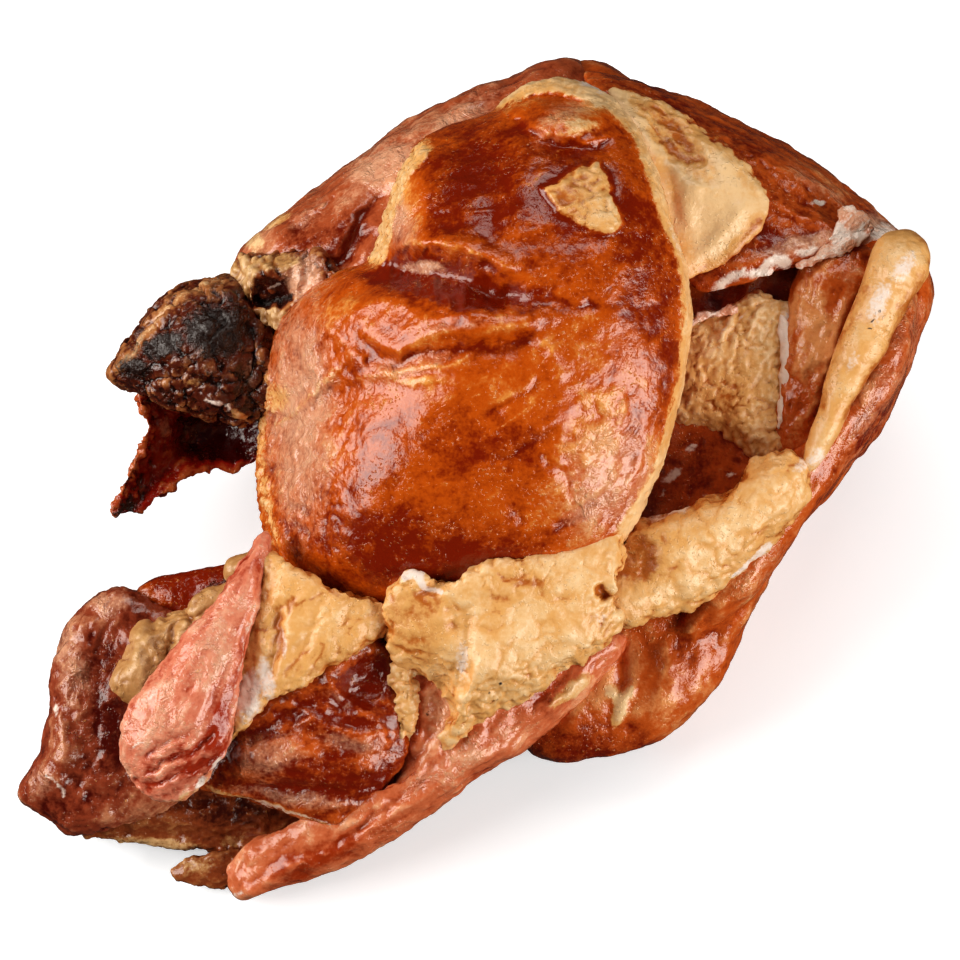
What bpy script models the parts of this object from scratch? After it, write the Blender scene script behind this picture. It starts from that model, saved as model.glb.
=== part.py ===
"""Smoked pork tail: the rump end of a smoked tail, one piece of meat with its fat and its charred root.

The piece is shaped in its own "show face": x runs right, y runs up the face and z comes out of it.
Sizes there are in millimetres. Once fused, the whole is tipped back by TIP_DEG and set down on its base.
"""

import math

import bmesh
import bpy
import numpy as np
from mathutils import Matrix

MM = 0.001
NODE = "pork_tail"
TIP_DEG = 25.0  # how far the show face leans back from lying flat
BASE_DROP = 45.0  # from the middle of the show face down to the floor, before the flat spots are cut
ROW_SHIFT = (0.0, -7.0)  # puts the middle of the footprint over the origin
FUSE_VOXEL = 1.2
SETTLE = 7.0  # the underside below this height is pressed flatter, and ends just above the floor
FLAT_SPOT = 1.2  # this much is then cut off, which leaves flat spots to rest on
TRIANGLES = 11600
RELIEF = ((20.0, 1.5), (8.0, 0.7))  # (size, height) of the lumps and dents in the skin

# Each lump: its rim as (x, y, z), its middle, how far it swells out and back, and how blunt its edge is (1 is
# round like an egg, less is boxier) towards the show side. Behind it is round.
LOBES = {
    "core": dict(
        rim=[(-42, -18, -18), (-44, 0, -24), (-44, 22, -28), (-44, 45, -32), (-25, 65, -34), (10, 75, -34),
             (50, 65, -34), (60, 30, -28), (50, -10, -20), (20, -45, -14), (-20, -50, -12), (-35, -40, -14)],
        middle=(5, 15, -20), crown=30, back=38, blunt=0.85),
    "rump": dict(
        rim=[(23, 92.5, -24), (38, 86.5, -24), (58, 78.5, -22), (74, 69, -20), (88, 59.5, -17), (97.5, 49, -14),
             (99.5, 40, -12), (96, 28, -11), (88.5, 12, -10), (78, -1, -9), (68, -13, -9), (60.5, -29, -9),
             (51, -47, -9), (40, -57, -9), (25, -61, -9), (12.5, -60.5, -9), (0, -48, -9), (-14, -30, -12),
             (-20, 0, -16), (-18, 40, -18), (0, 75, -20)],
        middle=(40, 17, -14), crown=17, back=52, blunt=0.75),
    "loin": dict(
        rim=[(22, 92, -22), (6, 89, -22), (-13, 81.5, -22), (-30, 69.5, -22), (-44.5, 58.5, -22), (-53.5, 50, -23),
             (-52.5, 40, -24), (-46, 25, -24), (-25, 10, -24), (10, 40, -20), (26, 72, -18)],
        middle=(-12, 50, -13), crown=17, back=50, blunt=0.8),
    "dome": dict(
        rim=[(14, 87, 5), (26, 85, 8), (34, 77, 12), (39, 67, 16), (42, 56, 18), (45, 46, 18), (46, 36, 18),
             (45, 26, 18), (42, 14, 18), (38, 0, 18), (33, -11, 17), (25, -20, 15), (0, -27, 13),
             (-20, -29, 12), (-35, -24, 8), (-44, -18, 2), (-48, -8, -6), (-49, 2, -12), (-48, 12, -14),
             (-48, 25, -10), (-43, 37, -4), (-33, 45, 2), (-24, 48, 6), (-20, 60, 8), (-16, 70, 8),
             (-10, 76, 6), (3, 81, 4)],
        middle=(2, 27, 22), crown=20, back=28, blunt=0.85),
    "top_hood": dict(
        rim=[(3, 81, 6), (10, 86.5, 6), (18, 88, 7), (27, 85, 9), (32, 79, 12), (30, 72, 15), (23, 72, 17),
             (14, 77, 14), (8, 79, 10)],
        middle=(19, 80, 13), crown=3.5, back=8, blunt=0.8),
    "upper_meat": dict(
        rim=[(23, 90, -12), (38, 87, -13), (58, 79, -14), (75, 70, -15), (88, 59, -14), (92, 54, -8),
             (86, 52, 4), (76, 49, 8), (66, 46, 9), (56, 43, 9), (47, 42, 8), (40, 50, 6), (34, 66, 4),
             (28, 78, 0)],
        middle=(58, 62, 3), crown=8, back=18, blunt=0.9),
    "draped_fat": dict(
        rim=[(30, 84, 4), (38, 82, 2), (47, 77, 3), (55, 70, 6), (61, 62, 9), (61, 56, 11), (55, 51, 12),
             (48, 45.5, 12), (43, 47, 13), (39, 56, 13), (36, 66, 12), (33, 76, 8)],
        middle=(48, 61, 9), crown=3, back=10, blunt=0.8),
    "cavity_fat": dict(
        rim=[(44, 34, 4), (53, 37, 5), (60, 41, 6), (66, 39, 5), (69, 32, 4), (68, 20, 3), (66, 8, 3),
             (61, 4, 3), (52, 11, 2), (41, 15, 2)],
        middle=(55, 24, 5), crown=3, back=6, blunt=0.8),
    "front_core": dict(
        rim=[(-58, -40, -4), (-58, -30, -6), (-50, -22, -8), (-20, -20, -6), (10, -30, -4), (10, -50, -2),
             (-20, -62, 0), (-45, -62, 0), (-55, -55, -2)],
        middle=(-25, -42, -2), crown=14, back=22, blunt=0.8),
    "lower_slab": dict(
        rim=[(-52, -92, -1), (-45, -89.5, 0), (-30, -84.5, 2), (-15, -76, 3), (-1, -65.5, 3), (9, -60, 3),
             (18, -52, 2), (28, -42, 2), (32, -34, 4), (20, -32, 8), (0, -38, 12), (-14, -40, 12),
             (-17, -50, 8), (-18, -62, 6), (-30, -74.5, 2), (-42, -77, 1), (-50, -79, 0), (-56, -85, -2),
             (-55, -89, -2)],
        middle=(-8, -60, 8), crown=6, back=16, blunt=0.75),
    "front_fat": dict(
        rim=[(-19, -22.5, 27), (-15, -20, 28), (-7, -23, 29), (0, -19.5, 29), (10, -16, 28), (20, -14.5, 26),
             (29, -10, 24), (31, -18, 24), (28, -25, 24), (31, -31, 21), (25, -37, 20), (11, -46, 18),
             (0, -51.5, 16), (-8, -59, 12), (-7, -48, 16), (-13, -42, 18), (-19, -38, 20), (-20, -30, 24)],
        middle=(3, -33, 25), crown=4.5, back=16, blunt=0.75),
    "left_fat": dict(
        rim=[(-46, -16.5, 19), (-38, -20.5, 22), (-28, -24.5, 23), (-21, -26.5, 22), (-21, -33, 20),
             (-30, -39, 20), (-38, -44, 20), (-46, -48, 20), (-52, -54, 17), (-54.5, -56, 16),
             (-54, -45, 17), (-53, -36, 17), (-50, -25, 17)],
        middle=(-40, -34, 21), crown=4, back=12, blunt=0.75),
    "shank": dict(
        rim=[(-56, -58, 10), (-50, -50, 14), (-38, -42, 17), (-26, -35, 18), (-20, -36, 14), (-17, -48, 12),
             (-15, -58, 10), (-20, -68, 8), (-30, -74.5, 7), (-42, -72.5, 7), (-52, -69.5, 7), (-61, -66, 7)],
        middle=(-37, -57, 12), crown=7, back=6, blunt=0.8),
    "side_flap": dict(
        rim=[(-76, -23.5, 2), (-84, -25, 0), (-90.5, -32, -1), (-94, -42, -1), (-95, -52, -1), (-96.5, -60, -2),
             (-101, -69, -3), (-94, -75, -3), (-89, -78.5, -3), (-78, -76, -3), (-66, -70, -2),
             (-58, -55, -2), (-58, -40, 0), (-66, -30, 2)],
        middle=(-80, -52, 1), crown=9, back=12, blunt=0.7),
    "under_flap": dict(
        rim=[(-88, -77, -5), (-80, -79.5, -6), (-70, -80, -6), (-60, -81.5, -6), (-50, -82, -5), (-40, -76, -4),
             (-35, -66, -3), (-60, -58, -3), (-80, -65, -5)],
        middle=(-60, -72, -3), crown=2.5, back=5, blunt=0.8),
    "leaf": dict(
        rim=[(-68, -86, -3), (-62, -82.5, -2), (-54, -81, -2), (-48, -86, -1), (-56, -89, -2), (-61, -89, -3)],
        middle=(-57, -86, -2), crown=2, back=2.5, blunt=0.8),
    "lower_band": dict(
        rim=[(35, -9, 15), (45, -6, 14), (55, -1.5, 14), (60, 4.5, 13), (68, 5.5, 13), (71.5, 0, 12),
             (71, -6, 10), (64, -13.5, 9), (56, -21.5, 10), (48, -26.5, 11), (38, -30, 14), (30, -32, 17),
             (26, -27, 19), (29, -20, 19), (31, -13, 17)],
        middle=(50, -13, 16), crown=5.5, back=14, blunt=0.7),
    "neck_fat": dict(
        rim=[(-54, 44, -10), (-52, 49, -10), (-44, 50, -8), (-36, 51, -4), (-32, 47, 0), (-29, 41, 2),
             (-36, 36, 0), (-44, 33, -4), (-50, 34, -9), (-54, 39, -10)],
        middle=(-42, 43, -5), crown=6, back=8, blunt=0.8),
    "root": dict(
        rim=[(-50, 42, -12), (-58, 43.5, -12), (-67, 41.5, -13), (-75, 33.5, -14), (-81, 24, -15), (-76, 20, -14),
             (-70, 17, -13), (-60, 15, -12), (-52, 13, -12), (-44, 18, -12), (-44, 32, -12)],
        middle=(-61, 29, -8), crown=9, back=12, blunt=0.65),
    "root_skin": dict(
        rim=[(-75, 20, -16), (-73.5, 12, -17), (-76.5, 5, -19), (-81, -8, -20), (-72, -4.5, -22), (-63, 1.5, -24),
             (-52, 3.5, -26), (-42, 8, -26), (-42, 18, -24), (-58, 20, -20)],
        middle=(-62, 10, -28), crown=2.5, back=3, blunt=0.8),
}

# Each strap: its route as (x, y, z), and its half width and half thickness at each of those points.
STRAPS = {
    "upper_roll": dict(
        route=[(96, 51.5, 11), (91, 46, 14), (86.5, 38, 15), (82, 29, 15), (79, 21, 15), (76, 13, 14), (72, 3, 13)],
        half_width=[4, 6.2, 5.8, 5, 3.8, 3, 2.8], half_thick=[4, 6, 6, 5, 4, 4, 4]),
    "right_wall": dict(
        route=[(94, 46, -4), (90.5, 31, -2), (85, 19, 0), (76.5, 8, 1), (66.5, -6, 2), (56, -21, 2), (44, -34, 2)],
        half_width=[4, 5, 6, 6, 6, 6, 6], half_thick=[10, 12, 12, 11, 10, 10, 10]),
    "cavity_strip": dict(
        route=[(84, 50, 2), (79, 40, 2), (75, 28, 1), (71, 14, 0)], half_width=[7, 8, 7, 5],
        half_thick=[6, 6, 6, 5]),
    "finger": dict(
        route=[(-46, -12, 16), (-50, -23, 20), (-55, -34, 22), (-60, -45, 23), (-66, -56, 22), (-71, -67, 18)],
        half_width=[3, 4, 5.5, 8.5, 12, 10], half_thick=[5, 5, 5, 6, 6.5, 5.5]),
    "side_fat": dict(
        route=[(-50, -25, 8), (-60, -29, 9), (-68, -36, 9), (-77, -46, 8)],
        half_width=[3.5, 5, 7.5, 6.5], half_thick=[5, 5, 6, 6]),
    "side_muscle": dict(
        route=[(-75, -25, -1), (-62, -23.5, -1), (-46, -21, 0)], half_width=[3, 4.5, 5], half_thick=[4, 5, 6]),
    "top_fat_knot": dict(
        route=[(-56, -20, 4), (-47, -18, 6)], half_width=[2.5, 3.5], half_thick=[4, 5]),
}

# Each fold: its route as (x, y), its height, and how far it falls away to its left and to its right.
FOLDS = [
    ([(-26, 43), (-14, 41), (-3, 38.5), (8, 37), (16, 37.5)], -4.0, 5, 2.5),
    ([(-20, 50), (-8, 52), (3, 49), (9, 42)], 1.6, 3, 2),
    ([(-31, 37), (-20, 38), (-8, 35), (6, 34)], 1.2, 2, 5),
    ([(-22, 25), (-10, 30), (2, 32), (14, 31)], 1.2, 1.5, 6),
    ([(-18, 22.5), (-8, 27.5), (2, 29.5)], -1.0, 1.5, 3),
    ([(-50, 63), (-34, 62), (-24, 71), (-10, 79)], -2.2, 3, 3),
    ([(-40, 54), (-30, 55), (-22, 63), (-16, 73)], -2.4, 3, 2.5),
    ([(-47, 43.5), (-43, 43)], -5.0, 4, 3.5),
    ([(40, 79), (45, 72), (52, 65)], -2.2, 4, 4),
    ([(62, 72), (70, 60), (74, 52)], -1.5, 3, 3),
    ([(70, 77), (78, 62), (84, 54)], -1.2, 2.5, 2.5),
    ([(82, 46), (79, 36), (76, 27), (73, 18), (70, 11)], -4.0, 3, 3),
    ([(16, 63), (22, 61), (28, 57)], 1.6, 6, 6),
    ([(42, 6), (50, 2), (58, 4)], -4.0, 6, 5),
    ([(12, -60), (18, -53), (26, -44), (33, -36)], -4.0, 3, 2.5),
    ([(24, -58), (34, -47), (44, -36)], -1.8, 4, 3),
    ([(42, -54), (50, -42), (57, -30)], -1.2, 4, 4),
    ([(-62, -71), (-50, -73.5), (-38, -75.5), (-29, -76)], -4.0, 2, 1.5),
    ([(-16, -44), (-14, -52), (-17, -60), (-25, -66)], -3.0, 1.8, 1.8),
    ([(-43, -26), (-44.5, -36), (-46, -48)], -1.6, 1.5, 1.5),
    ([(-80, -30), (-88, -34), (-91, -44), (-92, -54)], 2.2, 5, 3),
    ([(-83, -42), (-81, -54), (-80, -64)], -2.5, 6, 6),
    ([(-74, -50), (-64, -57), (-58, -61)], 0.8, 1.6, 1.6),
    ([(-75, -58), (-66, -62), (-60, -65)], 0.8, 1.6, 1.6),
    ([(-66, 40), (-60, 31), (-52, 27)], 1.8, 3, 2),
    ([(-76, 27), (-68, 25), (-58, 22)], -1.8, 3, 3),
]


def closed_curve(points, turns):
    """Points at the given turns (0 to 1) of the smooth closed curve through these points, evenly by length."""
    knots = np.array(points, float)
    count = len(knots)
    fine = np.linspace(0, count, 24 * count, endpoint=False)
    nearby = (fine.astype(int)[:, None] + np.arange(-1, 3)) % count
    line = spline(knots[nearby], fine % 1)
    steps = np.linalg.norm(np.roll(line, -1, axis=0) - line, axis=1)
    length = np.concatenate([[0], np.cumsum(steps)]) / steps.sum()
    line = np.vstack([line, line[:1]])
    return np.stack([np.interp(turns, length, line[:, axis]) for axis in range(3)], axis=1)


def open_curve(points, shares):
    """Points at the given shares (0 to 1) of the smooth curve through these points."""
    knots = np.array(points, float)
    knots = np.vstack([2 * knots[:1] - knots[1:2], knots, 2 * knots[-1:] - knots[-2:-1]])
    place = np.clip(shares, 0, 1) * (len(points) - 1)
    first = np.minimum(place.astype(int), len(points) - 2)
    return spline(knots[first[:, None] + np.arange(4)], place - first)


def spline(four, share):
    """Catmull-Rom: the point at this share between the second and third of each four points."""
    t = np.asarray(share)[:, None]
    a, b, c, d = (four[:, i] for i in range(4))
    return 0.5 * (2 * b + (c - a) * t + (2 * a - 5 * b + 4 * c - d) * t**2 + (3 * b - a - 3 * c + d) * t**3)


def unit_ball(name):
    """A ball of radius 1, and its points."""
    bpy.ops.mesh.primitive_uv_sphere_add(segments=96, ring_count=48, radius=1)
    ball = bpy.context.object
    ball.name = name
    return ball, points_of(ball, "co")


def points_of(obj, attribute):
    values = np.empty(len(obj.data.vertices) * 3)
    obj.data.vertices.foreach_get(attribute, values)
    return values.reshape(-1, 3)


def set_points(obj, points):
    obj.data.vertices.foreach_set("co", points.ravel())
    obj.data.update()


def make_lobe(name, rim, middle, crown, back, blunt):
    """A ball drawn out to the rim, crown thick towards the show side and back thick behind it."""
    ball, unit = unit_ball(name)
    rim = np.array(rim, float)
    across = np.roll(rim, -1, axis=0)
    if np.sum(rim[:, 0] * across[:, 1] - across[:, 0] * rim[:, 1]) < 0:
        rim = rim[::-1]
    edge = closed_curve(rim, np.arctan2(unit[:, 1], unit[:, 0]) / (2 * math.pi) % 1)
    front = unit[:, 2] > 0
    edginess = np.where(front, blunt, 1)
    reach = (np.hypot(unit[:, 0], unit[:, 1]) ** edginess)[:, None]
    swell = np.abs(unit[:, 2]) ** edginess * np.where(front, crown, -back)
    points = middle + (edge - middle) * np.hstack([reach, reach, reach**2])
    points[:, 2] += swell
    set_points(ball, points * MM)
    return ball


def make_strap(name, route, half_width, half_thick):
    """A ball drawn out along the route, with blunt round ends."""
    ball, unit = unit_ball(name)
    share = (unit[:, 2] + 1) / 2
    centre = open_curve(route, share)
    along = open_curve(route, share + 0.01) - open_curve(route, share - 0.01)
    along /= np.linalg.norm(along, axis=1, keepdims=True)
    side = np.cross([0, 0, 1], along)
    side /= np.linalg.norm(side, axis=1, keepdims=True)
    up = np.cross(along, side)
    spots = np.linspace(0, 1, len(route))
    ring = np.hypot(unit[:, 0], unit[:, 1])
    fullness = (1 - np.abs(unit[:, 2]) ** 5) ** 0.5 / np.maximum(ring, 1e-6)
    width = unit[:, 0] * fullness * np.interp(share, spots, half_width)
    thick = unit[:, 1] * fullness * np.interp(share, spots, half_thick)
    set_points(ball, (centre + side * width[:, None] + up * thick[:, None]) * MM)
    return ball


def apply_modifier(obj, kind, **settings):
    modifier = obj.modifiers.new(kind.title(), kind)
    for key, value in settings.items():
        setattr(modifier, key, value)
    bpy.context.view_layer.objects.active = obj
    bpy.ops.object.modifier_apply(modifier=modifier.name)


def fuse(objects, name):
    """One skin round all the lumps."""
    bpy.ops.object.select_all(action="DESELECT")
    for obj in objects:
        obj.select_set(True)
    bpy.context.view_layer.objects.active = objects[0]
    bpy.ops.object.join()
    whole = bpy.context.object
    whole.name = whole.data.name = name
    apply_modifier(whole, "REMESH", mode="VOXEL", voxel_size=FUSE_VOXEL * MM)
    return whole


def beside(points, route):
    """How far each (x, y) is to the left (plus) or right (minus) of the route, and its share along it."""
    line = open_curve([(x, y, 0) for x, y in route], np.linspace(0, 1, 8 * len(route)))[:, :2]
    best = np.full(len(points), np.inf)
    signed = np.zeros(len(points))
    share = np.zeros(len(points))
    for i, (start, end) in enumerate(zip(line[:-1], line[1:])):
        step = end - start
        off = points - start
        t = np.clip(off @ step / (step @ step), 0, 1)
        gap = off - t[:, None] * step
        far = np.hypot(gap[:, 0], gap[:, 1])
        nearer = far < best
        best[nearer] = far[nearer]
        left = step[0] * off[:, 1] - step[1] * off[:, 0]
        signed[nearer] = np.copysign(far, left)[nearer]
        share[nearer] = ((i + t) / (len(line) - 1))[nearer]
    return signed, share


def crease(obj):
    """Presses the folds into the show side."""
    points = points_of(obj, "co") / MM
    facing = np.clip(points_of(obj, "normal")[:, 2] / 0.5, 0, 1)
    for route, height, left, right in FOLDS:
        signed, share = beside(points[:, :2], route)
        fall = np.exp(-((signed / np.where(signed > 0, left, right)) ** 2))
        ends = np.clip(4 * np.minimum(share, 1 - share) + 0.3, 0, 1)
        points[:, 2] += height * fall * ends * facing
    set_points(obj, points * MM)


def roughen(obj):
    """Lumps and dents over the whole skin."""
    for size, height in RELIEF:
        clouds = bpy.data.textures.new("lumps", "CLOUDS")
        clouds.noise_scale = size * MM
        apply_modifier(obj, "DISPLACE", texture=clouds, strength=2 * height * MM, mid_level=0.5)
        bpy.data.textures.remove(clouds)


def tip_back(obj):
    """Leans the show face back, and presses the underside flatter towards the floor."""
    lean = Matrix.Rotation(math.radians(TIP_DEG), 4, "X")
    place = Matrix.Translation((ROW_SHIFT[0] * MM, ROW_SHIFT[1] * MM, BASE_DROP * MM))
    obj.data.transform(place @ lean)
    points = points_of(obj, "co")
    settle = SETTLE * MM
    low = points[:, 2] < settle
    points[low, 2] = settle * np.exp((points[low, 2] - settle) / settle)
    set_points(obj, points)


def keep_outer_skin(obj):
    """Drops the skins of hollows that the fusing sealed, and any loose scrap."""
    mesh = bmesh.new()
    mesh.from_mesh(obj.data)
    left = set(mesh.verts)
    islands = []
    while left:
        island = [left.pop()]
        for vert in island:
            for edge in vert.link_edges:
                other = edge.other_vert(vert)
                if other in left:
                    left.remove(other)
                    island.append(other)
        islands.append(island)
    islands.sort(key=len)
    for island in islands[:-1]:
        bmesh.ops.delete(mesh, geom=island, context="VERTS")
    mesh.to_mesh(obj.data)
    mesh.free()


def thin_out(obj):
    """Fewer triangles, most of them kept where the skin bends."""
    triangles = sum(len(face.vertices) - 2 for face in obj.data.polygons)
    apply_modifier(obj, "DECIMATE", ratio=TRIANGLES / triangles, use_collapse_triangulate=True)


def cut_flat_spots(obj):
    """Cuts the lowest bit off, and sets the flat spots that this leaves at height 0."""
    obj.data.transform(Matrix.Translation((0, 0, -FLAT_SPOT * MM)))
    mesh = bmesh.new()
    mesh.from_mesh(obj.data)
    cut = bmesh.ops.bisect_plane(
        mesh, geom=mesh.verts[:] + mesh.edges[:] + mesh.faces[:], dist=1e-6,
        plane_co=(0, 0, 0), plane_no=(0, 0, 1), clear_inner=True)
    rims = [item for item in cut["geom_cut"] if isinstance(item, bmesh.types.BMEdge)]
    bmesh.ops.triangle_fill(mesh, edges=rims, use_beauty=True, normal=(0, 0, -1))
    mesh.to_mesh(obj.data)
    mesh.free()


def smoked_meat():
    finish = bpy.data.materials.new("smoked_meat")
    finish.use_nodes = True
    shader = finish.node_tree.nodes["Principled BSDF"]
    shader.inputs["Base Color"].default_value = (0.42, 0.11, 0.035, 1)
    shader.inputs["Roughness"].default_value = 0.38
    shader.inputs["Metallic"].default_value = 0.0
    return finish


def main():
    for obj in list(bpy.data.objects):
        bpy.data.objects.remove(obj)
    lumps = [make_lobe(name, **form) for name, form in LOBES.items()]
    lumps += [make_strap(name, **form) for name, form in STRAPS.items()]
    tail = fuse(lumps, NODE)
    crease(tail)
    roughen(tail)
    tip_back(tail)
    keep_outer_skin(tail)
    thin_out(tail)
    cut_flat_spots(tail)
    tail.data.shade_smooth()
    tail.data.materials.clear()
    tail.data.materials.append(smoked_meat())


main()
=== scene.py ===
"""Smoked pork tail: the looks of its meat, fat and charred root.

Every piece is modelled in the show face's own millimetres: x runs right, y runs up the face and z comes out
of it. It is then leaned back and set down as the solid is.
"""

import itertools
import math

import bpy
import numpy as np
from mathutils import Matrix, Vector

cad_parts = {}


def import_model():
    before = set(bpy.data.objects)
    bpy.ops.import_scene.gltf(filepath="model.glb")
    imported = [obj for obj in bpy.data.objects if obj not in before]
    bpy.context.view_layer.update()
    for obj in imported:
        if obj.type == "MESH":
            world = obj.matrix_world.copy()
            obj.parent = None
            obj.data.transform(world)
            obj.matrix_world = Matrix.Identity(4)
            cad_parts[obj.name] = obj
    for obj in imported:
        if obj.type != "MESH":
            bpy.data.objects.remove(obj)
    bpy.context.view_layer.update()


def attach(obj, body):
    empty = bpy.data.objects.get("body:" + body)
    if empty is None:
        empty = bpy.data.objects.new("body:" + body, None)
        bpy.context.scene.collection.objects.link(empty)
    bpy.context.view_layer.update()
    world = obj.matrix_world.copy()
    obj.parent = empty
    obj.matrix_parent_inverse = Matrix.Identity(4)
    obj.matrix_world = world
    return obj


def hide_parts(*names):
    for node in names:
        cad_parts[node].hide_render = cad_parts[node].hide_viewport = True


MM = 0.001
BODY = "root"
NODE = "pork_tail"
LEAN_DEG = 25.0  # how far the show face leans back from lying flat
FACE_MIDDLE = (0.0, -7.0, 45.0)  # the middle of the show face, before the underside is pressed flat
SETTLE = 7.0  # the underside below this height is pressed flatter
FLAT_SPOT = 1.2  # how much of it is then cut off
SHOWN = 0.2112  # metres of the show face that the camera's view spans
LENS, SENSOR = 300.0, 36.0
CAMERA_NEARER = 8.0  # how much nearer than that the camera stands, in millimetres
LEAN = Matrix.Rotation(math.radians(LEAN_DEG), 4, "X")
ROOM_LIGHT = 0.035  # the dark room's own light, beside the softboxes
SOFTBOX_COLOUR = (1.0, 0.95, 0.89)
FLOOR_SIZE = 6  # metres
FLOOR_GLOW = 0.35
NOISE_STEP = 31.7  # how far apart two seeds' noise is read

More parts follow.
